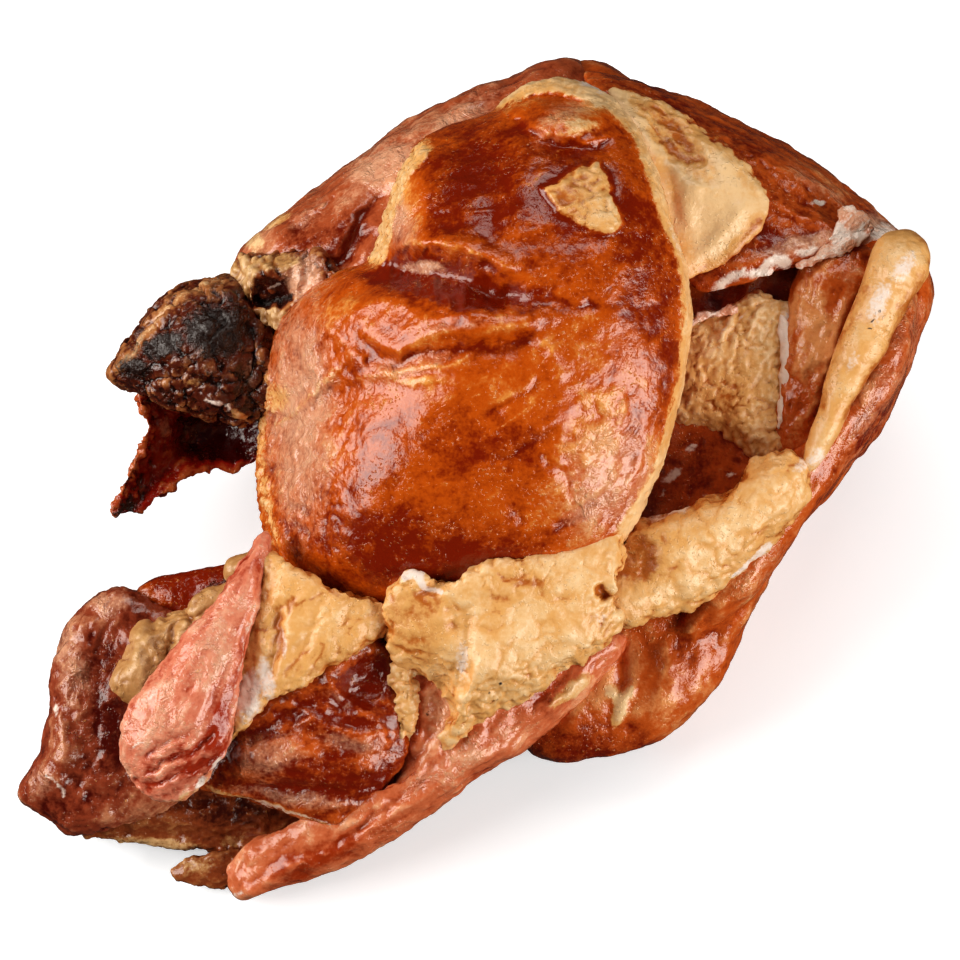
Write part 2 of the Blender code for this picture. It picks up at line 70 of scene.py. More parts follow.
# Lumps: rim as (x, y, z), middle, how far it swells out and back, and how blunt its front edge is.
LUMPS = {
    "core": dict(
        rim=[(-42, -18, -18), (-44, 0, -24), (-44, 22, -28), (-44, 45, -32), (-25, 65, -34), (10, 75, -34),
            (50, 65, -34), (60, 30, -28), (50, -10, -20), (20, -45, -14), (-20, -50, -12), (-35, -40, -14)],
        middle=(5, 15, -20), crown=30, back=38, blunt=0.85),
    "rump": dict(
        rim=[(23, 92.5, -24), (38, 86.5, -24), (58, 78.5, -22), (74, 69, -20), (88, 59.5, -17),
            (97.5, 49, -14), (99.5, 40, -12), (96, 28, -11), (88.5, 12, -10), (78, -1, -9), (68, -13, -9),
            (60.5, -29, -9), (51, -47, -9), (40, -57, -9), (25, -61, -9), (12.5, -60.5, -9), (0, -48, -9),
            (-14, -30, -12), (-20, 0, -16), (-18, 40, -18), (0, 75, -20)], middle=(40, 17, -14), crown=17,
        back=52, blunt=0.75),
    "loin": dict(
        rim=[(22, 92, -22), (6, 89, -22), (-13, 81.5, -22), (-30, 69.5, -22), (-44.5, 58.5, -22),
            (-53.5, 50, -23), (-52.5, 40, -24), (-46, 25, -24), (-25, 10, -24), (10, 40, -20),
            (26, 72, -18)], middle=(-12, 50, -13), crown=17, back=50, blunt=0.8),
    "dome": dict(
        rim=[(14, 87, 5), (26, 85, 8), (34, 77, 12), (39, 67, 16), (42, 56, 18), (45, 46, 18), (46, 36, 18),
            (45, 26, 18), (42, 14, 18), (38, 0, 18), (33, -11, 17), (25, -20, 15), (0, -27, 13),
            (-20, -29, 12), (-35, -24, 8), (-44, -18, 2), (-48, -8, -6), (-49, 2, -12), (-48, 12, -14),
            (-48, 25, -10), (-43, 37, -4), (-33, 45, 2), (-24, 48, 6), (-20, 60, 8), (-16, 70, 8),
            (-10, 76, 6), (3, 81, 4)], middle=(2, 27, 22), crown=20, back=28, blunt=0.85),
    "top_hood": dict(
        rim=[(3, 81, 6), (10, 86.5, 6), (18, 88, 7), (27, 85, 9), (32, 79, 12), (30, 72, 15), (23, 72, 17),
            (14, 77, 14), (8, 79, 10)], middle=(19, 80, 13), crown=3.5, back=8, blunt=0.8),
    "upper_meat": dict(
        rim=[(23, 90, -12), (38, 87, -13), (58, 79, -14), (75, 70, -15), (88, 59, -14), (92, 54, -8),
            (86, 52, 4), (76, 49, 8), (66, 46, 9), (56, 43, 9), (47, 42, 8), (40, 50, 6), (34, 66, 4),
            (28, 78, 0)], middle=(58, 62, 3), crown=8, back=18, blunt=0.9),
    "draped_fat": dict(
        rim=[(28, 85, 5), (36, 84, 3), (46, 79.5, 4), (55, 72, 7), (61.5, 64, 10), (62.5, 57, 12),
            (58, 51, 13), (50, 45, 13), (43, 45, 14), (39, 56, 14), (36, 66, 13), (32, 76, 10)],
        middle=(48, 62, 12.5), crown=3, back=10, blunt=0.8),
    "cavity_fat": dict(
        rim=[(44, 34, 4), (53, 37, 5), (60, 41, 6), (67, 38.5, 5), (71, 32, 4), (70.5, 20, 3), (68, 8, 3),
            (61, 4, 3), (52, 11, 2), (41, 15, 2)], middle=(55, 24, 5), crown=3, back=6, blunt=0.8),
    "front_core": dict(
        rim=[(-58, -40, -4), (-58, -30, -6), (-50, -22, -8), (-20, -20, -6), (10, -30, -4), (10, -50, -2),
            (-20, -62, 0), (-45, -62, 0), (-55, -55, -2)], middle=(-25, -42, -2), crown=14, back=22,
        blunt=0.8),
    "lower_slab": dict(
        rim=[(-52, -92, -1), (-45, -89.5, 0), (-30, -84.5, 2), (-15, -76, 3), (-1, -65.5, 3), (9, -60, 3),
            (18, -52, 2), (28, -42, 2), (32, -34, 4), (20, -32, 8), (0, -38, 12), (-14, -40, 12),
            (-17, -50, 8), (-18, -62, 6), (-30, -74.5, 2), (-42, -77, 1), (-50, -79, 0), (-56, -85, -2),
            (-55, -89, -2)], middle=(-8, -60, 8), crown=6, back=16, blunt=0.75),
    "front_fat": dict(
        rim=[(-19, -22.5, 27), (-15, -20, 28), (-7, -23, 29), (0, -19.5, 29), (10, -16, 28),
            (20, -14.5, 26), (29, -10, 24), (31, -18, 24), (28, -25, 24), (31, -31, 21), (25, -37, 20),
            (11, -46, 18), (0, -51.5, 16), (-8, -59, 12), (-7, -48, 16), (-13, -42, 18), (-19, -38, 20),
            (-20, -30, 24)], middle=(3, -33, 25), crown=4.5, back=16, blunt=0.75),
    "left_fat": dict(
        rim=[(-46, -16.5, 19), (-38, -20.5, 22), (-28, -24.5, 23), (-21, -26.5, 22), (-21, -33, 20),
            (-30, -39, 20), (-38, -44, 20), (-46, -48, 20), (-52, -54, 17), (-54.5, -56, 16),
            (-54, -45, 17), (-53, -36, 17), (-50, -25, 17)], middle=(-40, -34, 21), crown=4, back=12,
        blunt=0.75),
    "shank": dict(
        rim=[(-56, -58, 10), (-50, -50, 14), (-38, -42, 17), (-26, -35, 18), (-20, -36, 14), (-17, -48, 12),
            (-15, -58, 10), (-20, -68, 8), (-30, -74.5, 7), (-42, -72.5, 7), (-52, -69.5, 7),
            (-61, -66, 7)], middle=(-37, -57, 12), crown=7, back=6, blunt=0.8),
    "side_flap": dict(
        rim=[(-76, -23.5, 2), (-84, -25, 0), (-90.5, -32, -1), (-94, -42, -1), (-95, -52, -1),
            (-96.5, -60, -2), (-101, -69, -3), (-94, -75, -3), (-89, -78.5, -3), (-78, -76, -3),
            (-66, -70, -2), (-58, -55, -2), (-58, -40, 0), (-66, -30, 2)], middle=(-80, -52, 1), crown=9,
        back=12, blunt=0.7),
    "under_flap": dict(
        rim=[(-88, -77, -5), (-80, -79.5, -6), (-70, -80, -6), (-60, -81.5, -6), (-50, -82, -5),
            (-40, -76, -4), (-35, -66, -3), (-60, -58, -3), (-80, -65, -5)], middle=(-60, -72, -3),
        crown=2.5, back=5, blunt=0.8),
    "leaf": dict(
        rim=[(-68, -86, -3), (-62, -82.5, -2), (-54, -81, -2), (-48, -86, -1), (-56, -89, -2),
            (-61, -89, -3)], middle=(-57, -86, -2), crown=2, back=2.5, blunt=0.8),
    "lower_band": dict(
        rim=[(35, -9, 15), (45, -6, 14), (55, -1.5, 14), (60, 4.5, 13), (68, 5.5, 13), (71.5, 0, 12),
            (71, -6, 10), (64, -13.5, 9), (56, -21.5, 10), (48, -26.5, 11), (38, -30, 14), (30, -32, 17),
            (26, -27, 19), (29, -20, 19), (31, -13, 17)], middle=(50, -13, 16), crown=5.5, back=14,
        blunt=0.7),
    "neck_fat": dict(
        rim=[(-54, 44, -10), (-52, 49, -10), (-44, 50, -8), (-36, 51, -4), (-32, 47, 0), (-29, 41, 2),
            (-36, 36, 0), (-44, 33, -4), (-50, 34, -9), (-54, 39, -10)], middle=(-42, 43, -5), crown=6,
        back=8, blunt=0.8),
    "root": dict(
        rim=[(-50, 42, -12), (-58, 43.5, -12), (-67, 41.5, -13), (-75, 33.5, -14), (-81, 24, -15),
            (-76, 20, -14), (-70, 17, -13), (-60, 15, -12), (-52, 13, -12), (-44, 18, -12), (-44, 32, -12)],
        middle=(-61, 29, -8), crown=9, back=12, blunt=0.65),
    "char_block": dict(
        rim=[(-63.5, 36.5, -8), (-58, 39, -7), (-53.5, 39.5, -6), (-50, 36, -6), (-50.5, 30, -6),
            (-52.5, 25, -6), (-57, 26, -7), (-62.5, 26, -8), (-64.5, 31, -8)], middle=(-57.5, 32, -3),
        crown=4.5, back=8, blunt=0.35),
    "char_lump": dict(
        rim=[(-74, 28.5, -10), (-71.5, 32, -9), (-67, 33.5, -9), (-63.5, 31, -8), (-64.5, 27.5, -8),
            (-69, 26.5, -9)], middle=(-68.5, 29.5, -5.5), crown=2.5, back=5, blunt=0.45),
    "side_lobe": dict(
        rim=[(-81.5, -44, 6), (-79, -37, 5), (-75.5, -31, 5), (-70, -30.5, 5), (-66, -33, 6), (-65, -40, 7),
            (-68, -47, 7), (-73.5, -52, 6), (-79.5, -48, 6)], middle=(-73.5, -40.5, 11), crown=4.5, back=8,
        blunt=0.75),
    "side_cluster": dict(
        rim=[(-71.5, -31, 6), (-66, -28.8, 6), (-60, -27.8, 7), (-56, -30, 8), (-59, -38, 8), (-63, -45, 8),
            (-67.5, -48, 8), (-71, -42, 7)], middle=(-65, -37, 10), crown=4, back=6, blunt=0.8),
    "membrane": dict(
        rim=[(74, 50.5, 10.5), (77, 54, 11), (79.5, 59, 10), (84, 58.5, 8), (84.5, 55, 8), (81, 53, 9.5),
            (77, 50, 10)], middle=(79.5, 54.5, 10.0), crown=0.6, back=1.2, blunt=0.9),
    "root_skin": dict(
        rim=[(-75, 20, -16), (-73.5, 12, -17), (-76.5, 5, -19), (-81, -8, -20), (-72, -4.5, -22),
            (-63, 1.5, -24), (-52, 3.5, -26), (-42, 8, -26), (-42, 18, -24), (-58, 20, -20)],
        middle=(-62, 10, -28), crown=2.5, back=3, blunt=0.8),
}

# Straps: route as (x, y, z), and half width and half thickness at each of those points.
STRAPS = {
    "upper_roll": dict(
        route=[(96.3, 52.5, 10), (92, 48, 14), (88, 41, 15.5), (84, 31.5, 15.5), (79.5, 22, 15),
            (76, 13, 14), (71, 2, 13)], half_width=[6.3, 7.4, 6.0, 5.4, 4.2, 3.2, 3.0],
        half_thick=[5, 6, 6, 5, 4, 4, 4]),
    "right_wall": dict(
        route=[(94, 46, -4), (90.5, 31, -2), (85, 19, 0), (76.5, 8, 1), (66.5, -6, 2), (56, -21, 2),
            (44, -34, 2)], half_width=[4, 5, 6, 6, 6, 6, 6], half_thick=[10, 12, 12, 11, 10, 10, 10]),
    "cavity_strip": dict(route=[(83, 52, 4), (78, 41, 5.5), (74, 26, 5.0), (66, 4, 1.5)],
        half_width=[9, 10, 8.5, 6], half_thick=[6, 6.5, 6.5, 5]),
    "finger": dict(
        route=[(-46, -11, 16), (-50.3, -22, 20), (-55.2, -32.5, 22), (-60.3, -43, 23), (-66, -55.5, 22),
            (-69.3, -69.5, 17)], half_width=[3, 3.8, 6, 8.8, 12.4, 10.8],
        half_thick=[5, 5, 5, 6, 6.5, 5.5]),
    "side_string": dict(route=[(-51, -23.5, 9), (-57, -26, 10), (-63.5, -29, 9)],
        half_width=[2.5, 2.8, 2.5], half_thick=[4, 4, 4]),
    "side_fold": dict(route=[(-52, -27.5, 10), (-57, -30, 11), (-63, -33, 10)], half_width=[2.2, 2.6, 2.2],
        half_thick=[4, 4, 4]),
    "side_muscle": dict(route=[(-75.5, -25.8, -1), (-65, -25.5, 0), (-46, -23, 1)],
        half_width=[3.4, 5.6, 6.5], half_thick=[4, 5, 6]),
    "top_fat_knot": dict(route=[(-56, -20, 4), (-47, -18, 6)], half_width=[2.5, 3.5], half_thick=[4, 5]),
    "shred_right": dict(route=[(86, 55, 7.5), (81, 52, 10), (75, 49, 11), (69, 46.5, 11)],
        half_width=[1.2, 1.4, 1.2, 0.6], half_thick=[1, 1, 1, 1]),
    "shred_middle": dict(route=[(66, 48, 11), (60, 45, 11), (54, 43, 10.5)], half_width=[0.7, 1.0, 0.5],
        half_thick=[0.8, 0.8, 0.8]),
    "shred_left": dict(route=[(56, 37.5, 7.5), (50, 36, 7.5), (45.5, 34, 8)], half_width=[0.5, 0.9, 0.6],
        half_thick=[0.8, 1, 0.8]),
    "white_strip": dict(
        route=[(65.6, 36.5, 7.0), (67.4, 30, 7.6), (67.8, 24, 7.4), (67.0, 18, 6.8), (65, 11, 6.0)],
        half_width=[1.0, 2.2, 2.6, 2.0, 0.9], half_thick=[0.8, 1.3, 1.4, 1.3, 0.8]),
    "shank_strip": dict(route=[(-16.5, -38, 18), (-16.2, -44, 15.5), (-16, -51, 13.5), (-18, -58.5, 11)],
        half_width=[2.6, 2.6, 2.4, 1.8], half_thick=[2.5, 2.8, 2.8, 2.2]),
}


# ---------------------------------------------------------------- noise

RANDOM = np.random.default_rng(11)
SHUFFLE = np.tile(RANDOM.permutation(256), 2)
ARROWS = RANDOM.normal(size=(256, 3))
ARROWS = (ARROWS / np.linalg.norm(ARROWS, axis=1, keepdims=True)).T.copy()
JITTER = RANDOM.random((256, 3))


def lot(cell):
    """A number from 0 to 255 for each whole-numbered cell."""
    first = SHUFFLE[cell[:, 0] & 255]
    second = SHUFFLE[first + (cell[:, 1] & 255)]
    return SHUFFLE[second + (cell[:, 2] & 255)]


def swell(points, size, seed=0):
    """Smooth noise, about -1 to 1, with lumps of this size."""
    spots = points.T / size + NOISE_STEP * seed
    floor = np.floor(spots)
    near = spots - floor
    ease_in = near**3 * (near * (6 * near - 15) + 10)
    cell = floor.astype(int) & 255
    total = 0.0
    sides = [((cell[axis], near[axis], 1 - ease_in[axis]), (cell[axis] + 1, near[axis] - 1, ease_in[axis]))
             for axis in range(3)]
    for i, x, x_share in sides[0]:
        first = SHUFFLE[i]
        for j, y, y_share in sides[1]:
            second = SHUFFLE[first + (j & 255)]
            for k, z, z_share in sides[2]:
                arrow = ARROWS[:, SHUFFLE[second + (k & 255)]]
                total = total + (arrow[0] * x + arrow[1] * y + arrow[2] * z) * (x_share * y_share * z_share)
    return 1.7 * total


def rough(points, size, seed=0, layers=3):
    """Noise with finer and finer lumps on it."""
    return sum(swell(points, size / 2**i, seed + 5 * i) / 2**i for i in range(layers))


def ridges(points, size, seed=0, layers=2):
    """Sharp crests, 0 to about 1, with rounded hollows between them."""
    crests = ((1 - np.abs(swell(points, size / 2**i, seed + 3 * i))) ** 2 / 2**i for i in range(layers))
    return sum(crests) / 1.5


def cells(points, size, seed=0):
    """Cells round scattered middles: how far each point is from its edge, and its height on the slanted top."""
    spots = points / size + NOISE_STEP * seed
    cell = np.floor(spots).astype(int)
    nearest = np.full(len(points), 9.0)
    following = nearest.copy()
    slant = np.zeros(len(points))
    for step in itertools.product((-1, 0, 1), repeat=3):
        home = cell + step
        number = lot(home)
        off = spots - home - JITTER[number]
        gap = np.linalg.norm(off, axis=1)
        slant = np.where(gap < nearest, np.einsum("ij,ji->i", off, ARROWS[:, number]), slant)
        following = np.minimum(following, np.maximum(nearest, gap))
        nearest = np.minimum(nearest, gap)
    return following - nearest, slant


def drawn_out(points, direction, times):
    """The points squeezed along the direction, so that noise on them runs that way."""
    direction = np.array(direction, float) / np.linalg.norm(direction)
    along = points @ direction
    return points - np.outer(along * (1 - 1 / times), direction)


def stirred(points, size, seed, share):
    """The points moved about by noise, so that a pattern on them isn't regular."""
    return points + share * size * np.stack([rough(points, size, seed + i, 2) for i in (1, 2, 3)], axis=1)


def ease(low, high, values):
    """0 below low, 1 above high, and smooth between them."""
    share = np.clip((values - low) / (high - low), 0, 1)
    return share * share * (3 - 2 * share)


# ---------------------------------------------------------------- curves


def spline(four, share):
    """Catmull-Rom: the point at this share between the second and third of each four points."""
    t = np.asarray(share)[:, None]
    a, b, c, d = (four[:, i] for i in range(4))
    return 0.5 * (2 * b + (c - a) * t + (2 * a - 5 * b + 4 * c - d) * t**2 + (3 * b - a - 3 * c + d) * t**3)


def closed_curve(points, turns):
    """Points at the given turns (0 to 1) of the smooth closed curve through the points, evenly by length."""
    knots = np.array(points, float)
    count = len(knots)
    fine = np.linspace(0, count, 24 * count, endpoint=False)
    nearby = (fine.astype(int)[:, None] + np.arange(-1, 3)) % count
    line = spline(knots[nearby], fine % 1)
    steps = np.linalg.norm(np.roll(line, -1, axis=0) - line, axis=1)
    length = np.concatenate([[0], np.cumsum(steps)]) / steps.sum()
    line = np.vstack([line, line[:1]])
    return np.stack([np.interp(turns, length, line[:, axis]) for axis in range(3)], axis=1)


def open_curve(points, shares):
    """Points at the given shares (0 to 1) of the smooth curve through these points."""
    knots = np.array(points, float)
    knots = np.vstack([2 * knots[:1] - knots[1:2], knots, 2 * knots[-1:] - knots[-2:-1]])
    place = np.clip(shares, 0, 1) * (len(points) - 1)
    first = np.minimum(place.astype(int), len(points) - 2)
    return spline(knots[first[:, None] + np.arange(4)], place - first)


def to_segment(spots, start, end):
    """The segment's direction, and each (x, y)'s way from its start, share along it and gap to it."""
    step = end - start
    off = spots - start
    share = np.clip(off @ step / (step @ step), 0, 1)
    return step, off, share, off - share[:, None] * step


def beside(spots, route):
    """How far each (x, y) is to the left (plus) or right (minus) of the route, and its share along it."""
    line = open_curve([(x, y, 0) for x, y in route], np.linspace(0, 1, 6 * len(route)))[:, :2]
    best = np.full(len(spots), np.inf)
    signed = np.zeros(len(spots))
    share = np.zeros(len(spots))
    for i, (start, end) in enumerate(zip(line[:-1], line[1:])):
        step, off, t, gap = to_segment(spots, start, end)
        far = np.hypot(gap[:, 0], gap[:, 1])
        nearer = far < best
        best[nearer] = far[nearer]
        left = step[0] * off[:, 1] - step[1] * off[:, 0]
        signed[nearer] = np.copysign(far, left)[nearer]
        share[nearer] = ((i + t) / (len(line) - 1))[nearer]
    return signed, share


def inside(spots, outline):
    """How far each (x, y) is inside the outline, with minus outside it."""
    corners = np.array(outline, float)
    far = np.full(len(spots), np.inf)
    within = np.zeros(len(spots), bool)
    for start, end in zip(corners, np.roll(corners, -1, axis=0)):
        step, _, _, gap = to_segment(spots, start, end)
        far = np.minimum(far, np.linalg.norm(gap, axis=1))
        crosses = (start[1] > spots[:, 1]) != (end[1] > spots[:, 1])
        rise = step[1] if step[1] else 1e-9
        within ^= crosses & (spots[:, 0] < start[0] + (spots[:, 1] - start[1]) * step[0] / rise)
    return np.where(within, far, -far)


# ---------------------------------------------------------------- modelling


def unit_ball(name):
    """A ball of radius 1, copied from the one that is modelled first, and its points."""
    if "unit_ball" not in bpy.data.meshes:
        bpy.ops.mesh.primitive_uv_sphere_add(segments=192, ring_count=96, radius=1)
        first = bpy.context.object
        first.data.name = "unit_ball"
        bpy.data.objects.remove(first)
    ball = bpy.data.objects.new(name, bpy.data.meshes["unit_ball"].copy())
    bpy.context.scene.collection.objects.link(ball)
    return ball, points_of(ball, "co")


def points_of(obj, attribute):
    values = np.empty(len(obj.data.vertices) * 3)
    obj.data.vertices.foreach_get(attribute, values)
    return values.reshape(-1, 3)


def set_points(obj, points):
    obj.data.vertices.foreach_set("co", points.ravel())
    obj.data.update()


def make_lump(name, rim, middle, crown, back, blunt):
    """A ball drawn out to the rim, crown thick towards the show side and back thick behind it."""
    ball, unit = unit_ball(name)
    rim = np.array(rim, float)
    across = np.roll(rim, -1, axis=0)
    if np.sum(rim[:, 0] * across[:, 1] - across[:, 0] * rim[:, 1]) < 0:
        rim = rim[::-1]
    edge = closed_curve(rim, np.arctan2(unit[:, 1], unit[:, 0]) / (2 * math.pi) % 1)
    front = unit[:, 2] > 0
    edginess = np.where(front, blunt, 1)
    reach = (np.hypot(unit[:, 0], unit[:, 1]) ** edginess)[:, None]
    bulge = np.abs(unit[:, 2]) ** edginess * np.where(front, crown, -back)
    points = middle + (edge - middle) * np.hstack([reach, reach, reach**2])
    points[:, 2] += bulge
    set_points(ball, points * MM)
    return ball


def make_strap(name, route, half_width, half_thick):
    """A ball drawn out along the route, with blunt round ends."""
    ball, unit = unit_ball(name)
    share = (unit[:, 2] + 1) / 2
    centre = open_curve(route, share)
    along = open_curve(route, share + 0.01) - open_curve(route, share - 0.01)
    along /= np.linalg.norm(along, axis=1, keepdims=True)
    side = np.cross([0, 0, 1], along)
    side /= np.linalg.norm(side, axis=1, keepdims=True)
    up = np.cross(along, side)
    spots = np.linspace(0, 1, len(route))
    ring = np.hypot(unit[:, 0], unit[:, 1])
    fullness = (1 - np.abs(unit[:, 2]) ** 5) ** 0.5 / np.maximum(ring, 1e-6)
    width = unit[:, 0] * fullness * np.interp(share, spots, half_width)
    thick = unit[:, 1] * fullness * np.interp(share, spots, half_thick)
    set_points(ball, (centre + side * width[:, None] + up * thick[:, None]) * MM)
    return ball


def apply_modifier(obj, kind, **settings):
    modifier = obj.modifiers.new(kind.title(), kind)
    for key, value in settings.items():
        setattr(modifier, key, value)
    bpy.context.view_layer.objects.active = obj
    bpy.ops.object.modifier_apply(modifier=modifier.name)


class Form:
    """A piece while it is modelled, with its points in millimetres of the show face."""

    def __init__(self, name, parts, voxel, smoothing=6):
        balls = [make_lump(part, **LUMPS[part]) if part in LUMPS else make_strap(part, **STRAPS[part])
                 for part in parts]
        bpy.ops.object.select_all(action="DESELECT")
        for ball in balls:
            ball.select_set(True)
        bpy.context.view_layer.objects.active = balls[0]
        if len(balls) > 1:
            bpy.ops.object.join()
        self.obj = bpy.context.object
        self.obj.name = self.obj.data.name = name
        apply_modifier(self.obj, "REMESH", mode="VOXEL", voxel_size=voxel * MM)
        apply_modifier(self.obj, "SMOOTH", factor=0.5, iterations=smoothing)
        self.at = points_of(self.obj, "co") / MM
        edges = np.empty(2 * len(self.obj.data.edges), int)
        self.obj.data.edges.foreach_get("vertices", edges)
        self.edges = edges.reshape(-1, 2)
        self.links = np.bincount(edges, minlength=len(self.at))
        wobble = np.stack([rough(self.at, 3.0, seed, 2) for seed in (21, 22)], axis=1)
        self.spots = self.at[:, :2] + 0.55 * wobble
        self.look()

    def look(self):
        """Brings the mesh up to date, and works out which way its skin faces."""
        set_points(self.obj, self.at * MM)
        self.out = points_of(self.obj, "normal")
        self.facing = ease(0, 0.5, self.out[:, 2])

    def push(self, height):
        """Moves the skin out along its normals."""
        self.at = self.at + self.out * np.asarray(height)[:, None]
        self.look()

    def fray(self, amount):
        """Makes the edges ragged: skin that faces sideways moves out and in across the face."""
        edge = ease(0.25, 0.8, np.hypot(self.out[:, 0], self.out[:, 1])) * ease(-0.9, -0.3, self.out[:, 2])
        ragged = amount * edge * (rough(self.at, 4.5, 51, 3) + 0.5 * np.abs(swell(self.at, 2.2, 57)))
        self.at = self.at + ragged[:, None] * self.out * (1, 1, 0)
        self.look()

    def lift(self, height):
        """Moves the skin that faces the viewer towards the viewer."""
        self.at = self.at.copy()
        self.at[:, 2] += height * self.facing
        self.look()

    def fold(self, route, height, left, right):
        """A ridge or a crease along the route, and how far it falls away to its left and to its right."""
        signed, share = beside(self.spots, route)
        fall = np.exp(-((signed / np.where(signed > 0, left, right)) ** 2))
        ends = np.clip(5 * np.minimum(share, 1 - share) + 0.25, 0, 1)
        return height * fall * ends

    def band(self, route, half, soft=0.5):
        """1 within half a width of the route, and 0 beyond it."""
        signed, share = beside(self.spots, route)
        ends = ease(0, 0.06, np.minimum(share, 1 - share) + 0.03)
        return ease(half + soft, half - soft, np.abs(signed)) * ends

    def blot(self, outline, soft=0.6):
        """1 inside the outline, on the show side."""
        return ease(-soft, soft, inside(self.spots, outline))

    def daub(self, spots):
        """Soft round daubs, summed: each is its middle, its length and width, its turn and its strength."""
        total = np.zeros(len(self.at))
        for x, y, length, width, turn, strength in spots:
            along = np.array([math.cos(math.radians(turn)), math.sin(math.radians(turn))])
            off = self.spots - (x, y)
            far = (off @ along / length) ** 2 + (off @ (-along[1], along[0]) / width) ** 2
            total += strength * np.exp(-(far**1.5))
        return total

    def spread(self, values, times):
        """The values evened out over the skin."""
        for _ in range(times):
            total = np.bincount(self.edges[:, 0], values[self.edges[:, 1]], len(values))
            total += np.bincount(self.edges[:, 1], values[self.edges[:, 0]], len(values))
            values = 0.5 * values + 0.5 * total / np.maximum(self.links, 1)
        return values

    def depth(self, times):
        """How deep each point lies below the skin evened out round it, in millimetres."""
        even = np.stack([self.spread(self.at[:, axis], times) for axis in range(3)], axis=1)
        return np.einsum("ij,ij->i", even - self.at, self.out)

    def mark(self, name, values):
        """Keeps the values, 0 to 1, on the points for the material to read."""
        layer = self.obj.data.attributes.new(name, "FLOAT", "POINT")
        layer.data.foreach_set("value", np.clip(values, 0, 1).astype(np.float32))

    def finish(self, material):
        """Leans the piece back, sets it down and makes it stand for the solid."""
        self.obj.data.transform(Matrix.Translation([side * MM for side in FACE_MIDDLE]) @ LEAN)
        points = points_of(self.obj, "co") / MM
        low = points[:, 2] < SETTLE
        points[low, 2] = SETTLE * np.exp((points[low, 2] - SETTLE) / SETTLE)
        points[:, 2] = np.maximum(points[:, 2] - FLAT_SPOT, 0)
        set_points(self.obj, points * MM)
        self.obj.data.shade_smooth()
        self.obj.data.materials.clear()
        self.obj.data.materials.append(material)
        bpy.context.scene.collection.objects.unlink(self.obj)
        return self.obj


# ---------------------------------------------------------------- materials


class Wire:
    """One output of a material's nodes. Sums on wires add the nodes that work them out."""

    def __init__(self, paint, socket):
        self.paint, self.socket = paint, socket

    def math(self, operation, other=0.0):
        return self.paint.add("ShaderNodeMath", dict(operation=operation), {0: self, 1: other})

    def __add__(self, other):
        return self.math("ADD", other)

    def __sub__(self, other):
        return self.math("SUBTRACT", other)

    def __rsub__(self, other):
        return self.math("MULTIPLY", -1.0).math("ADD", other)

    def __mul__(self, other):
        return self.math("MULTIPLY", other)

    __radd__, __rmul__ = __add__, __mul__

    def between(self, low, high):
        """0 at low and below, 1 at high and above."""
        return self.paint.add("ShaderNodeMapRange", dict(interpolation_type="SMOOTHSTEP"),
                              {"Value": self, "From Min": low, "From Max": high})


class Paint:
    """The nodes of one material."""

    def __init__(self, name):
        self.material = bpy.data.materials.new(name)
        self.material.use_nodes = True
        self.nodes = self.material.node_tree.nodes
        self.shader = self.nodes["Principled BSDF"]
        self.place = self.add("ShaderNodeTexCoord", output="Object")

    def add(self, kind, settings=(), inputs=(), output=0):
        node = self.nodes.new(kind)
        for key, value in dict(settings).items():
            setattr(node, key, value)
        for key, value in dict(inputs).items():
            self.plug(node.inputs[key], value)
        return Wire(self, node.outputs[output])

    def plug(self, socket, value):
        if isinstance(value, Wire):
            self.material.node_tree.links.new(value.socket, socket)
        elif socket.type == "RGBA" and len(value) == 3:
            socket.default_value = (*value, 1)
        else:
            socket.default_value = value

    def attribute(self, name):
        return self.add("ShaderNodeAttribute", dict(attribute_name=name), output="Fac")

    def noise(self, size, detail=3, roughness=0.5, distortion=0.0):
        """Noise of about 0.2 to 0.8 with lumps of this size in millimetres."""
        return self.add("ShaderNodeTexNoise", {}, {
            "Vector": self.place, "Scale": 1 / (size * MM), "Detail": detail, "Roughness": roughness,
            "Distortion": distortion})

    def mix(self, share, first, second):
        return self.add("ShaderNodeMix", dict(data_type="RGBA"), {0: share, 6: first, 7: second}, output=2)

    def finish(self, colour, roughness, height, depth, **fixed):
        """Joins colour, roughness and relief to the shader, and sets its fixed values."""
        self.plug(self.shader.inputs["Base Color"], colour)
        self.plug(self.shader.inputs["Roughness"], roughness)
        bump = self.add("ShaderNodeBump", {}, {"Height": height, "Distance": depth * MM, "Strength": 1.0})
        self.plug(self.shader.inputs["Normal"], bump)
        for key, value in fixed.items():
            self.plug(self.shader.inputs[key.replace("_", " ")], value)
        return self.material


FAT_COLOURS = dict(stain=(0.46, 0.13, 0.015), cream=(0.75, 0.40, 0.135), pale=(0.86, 0.585, 0.31))
OLIVE_FAT = dict(stain=(0.26, 0.09, 0.02), cream=(0.48, 0.25, 0.09), pale=(0.72, 0.46, 0.22))
# Torn white skin, and the colour of painted highlights
WHITE_AND_HIGHLIGHT = (0.88, 0.74, 0.65)
# Pink tissue, and painted sheen: a pale salmon colour that stands in for the softboxes' reflection on the
# glossy skin
PINK_AND_SHEEN = (0.74, 0.41, 0.26)
THREAD = (0.76, 0.38, 0.10)
# Char, and the colour of painted shade in hollows
CHAR_AND_SHADE = (0.022, 0.009, 0.006)


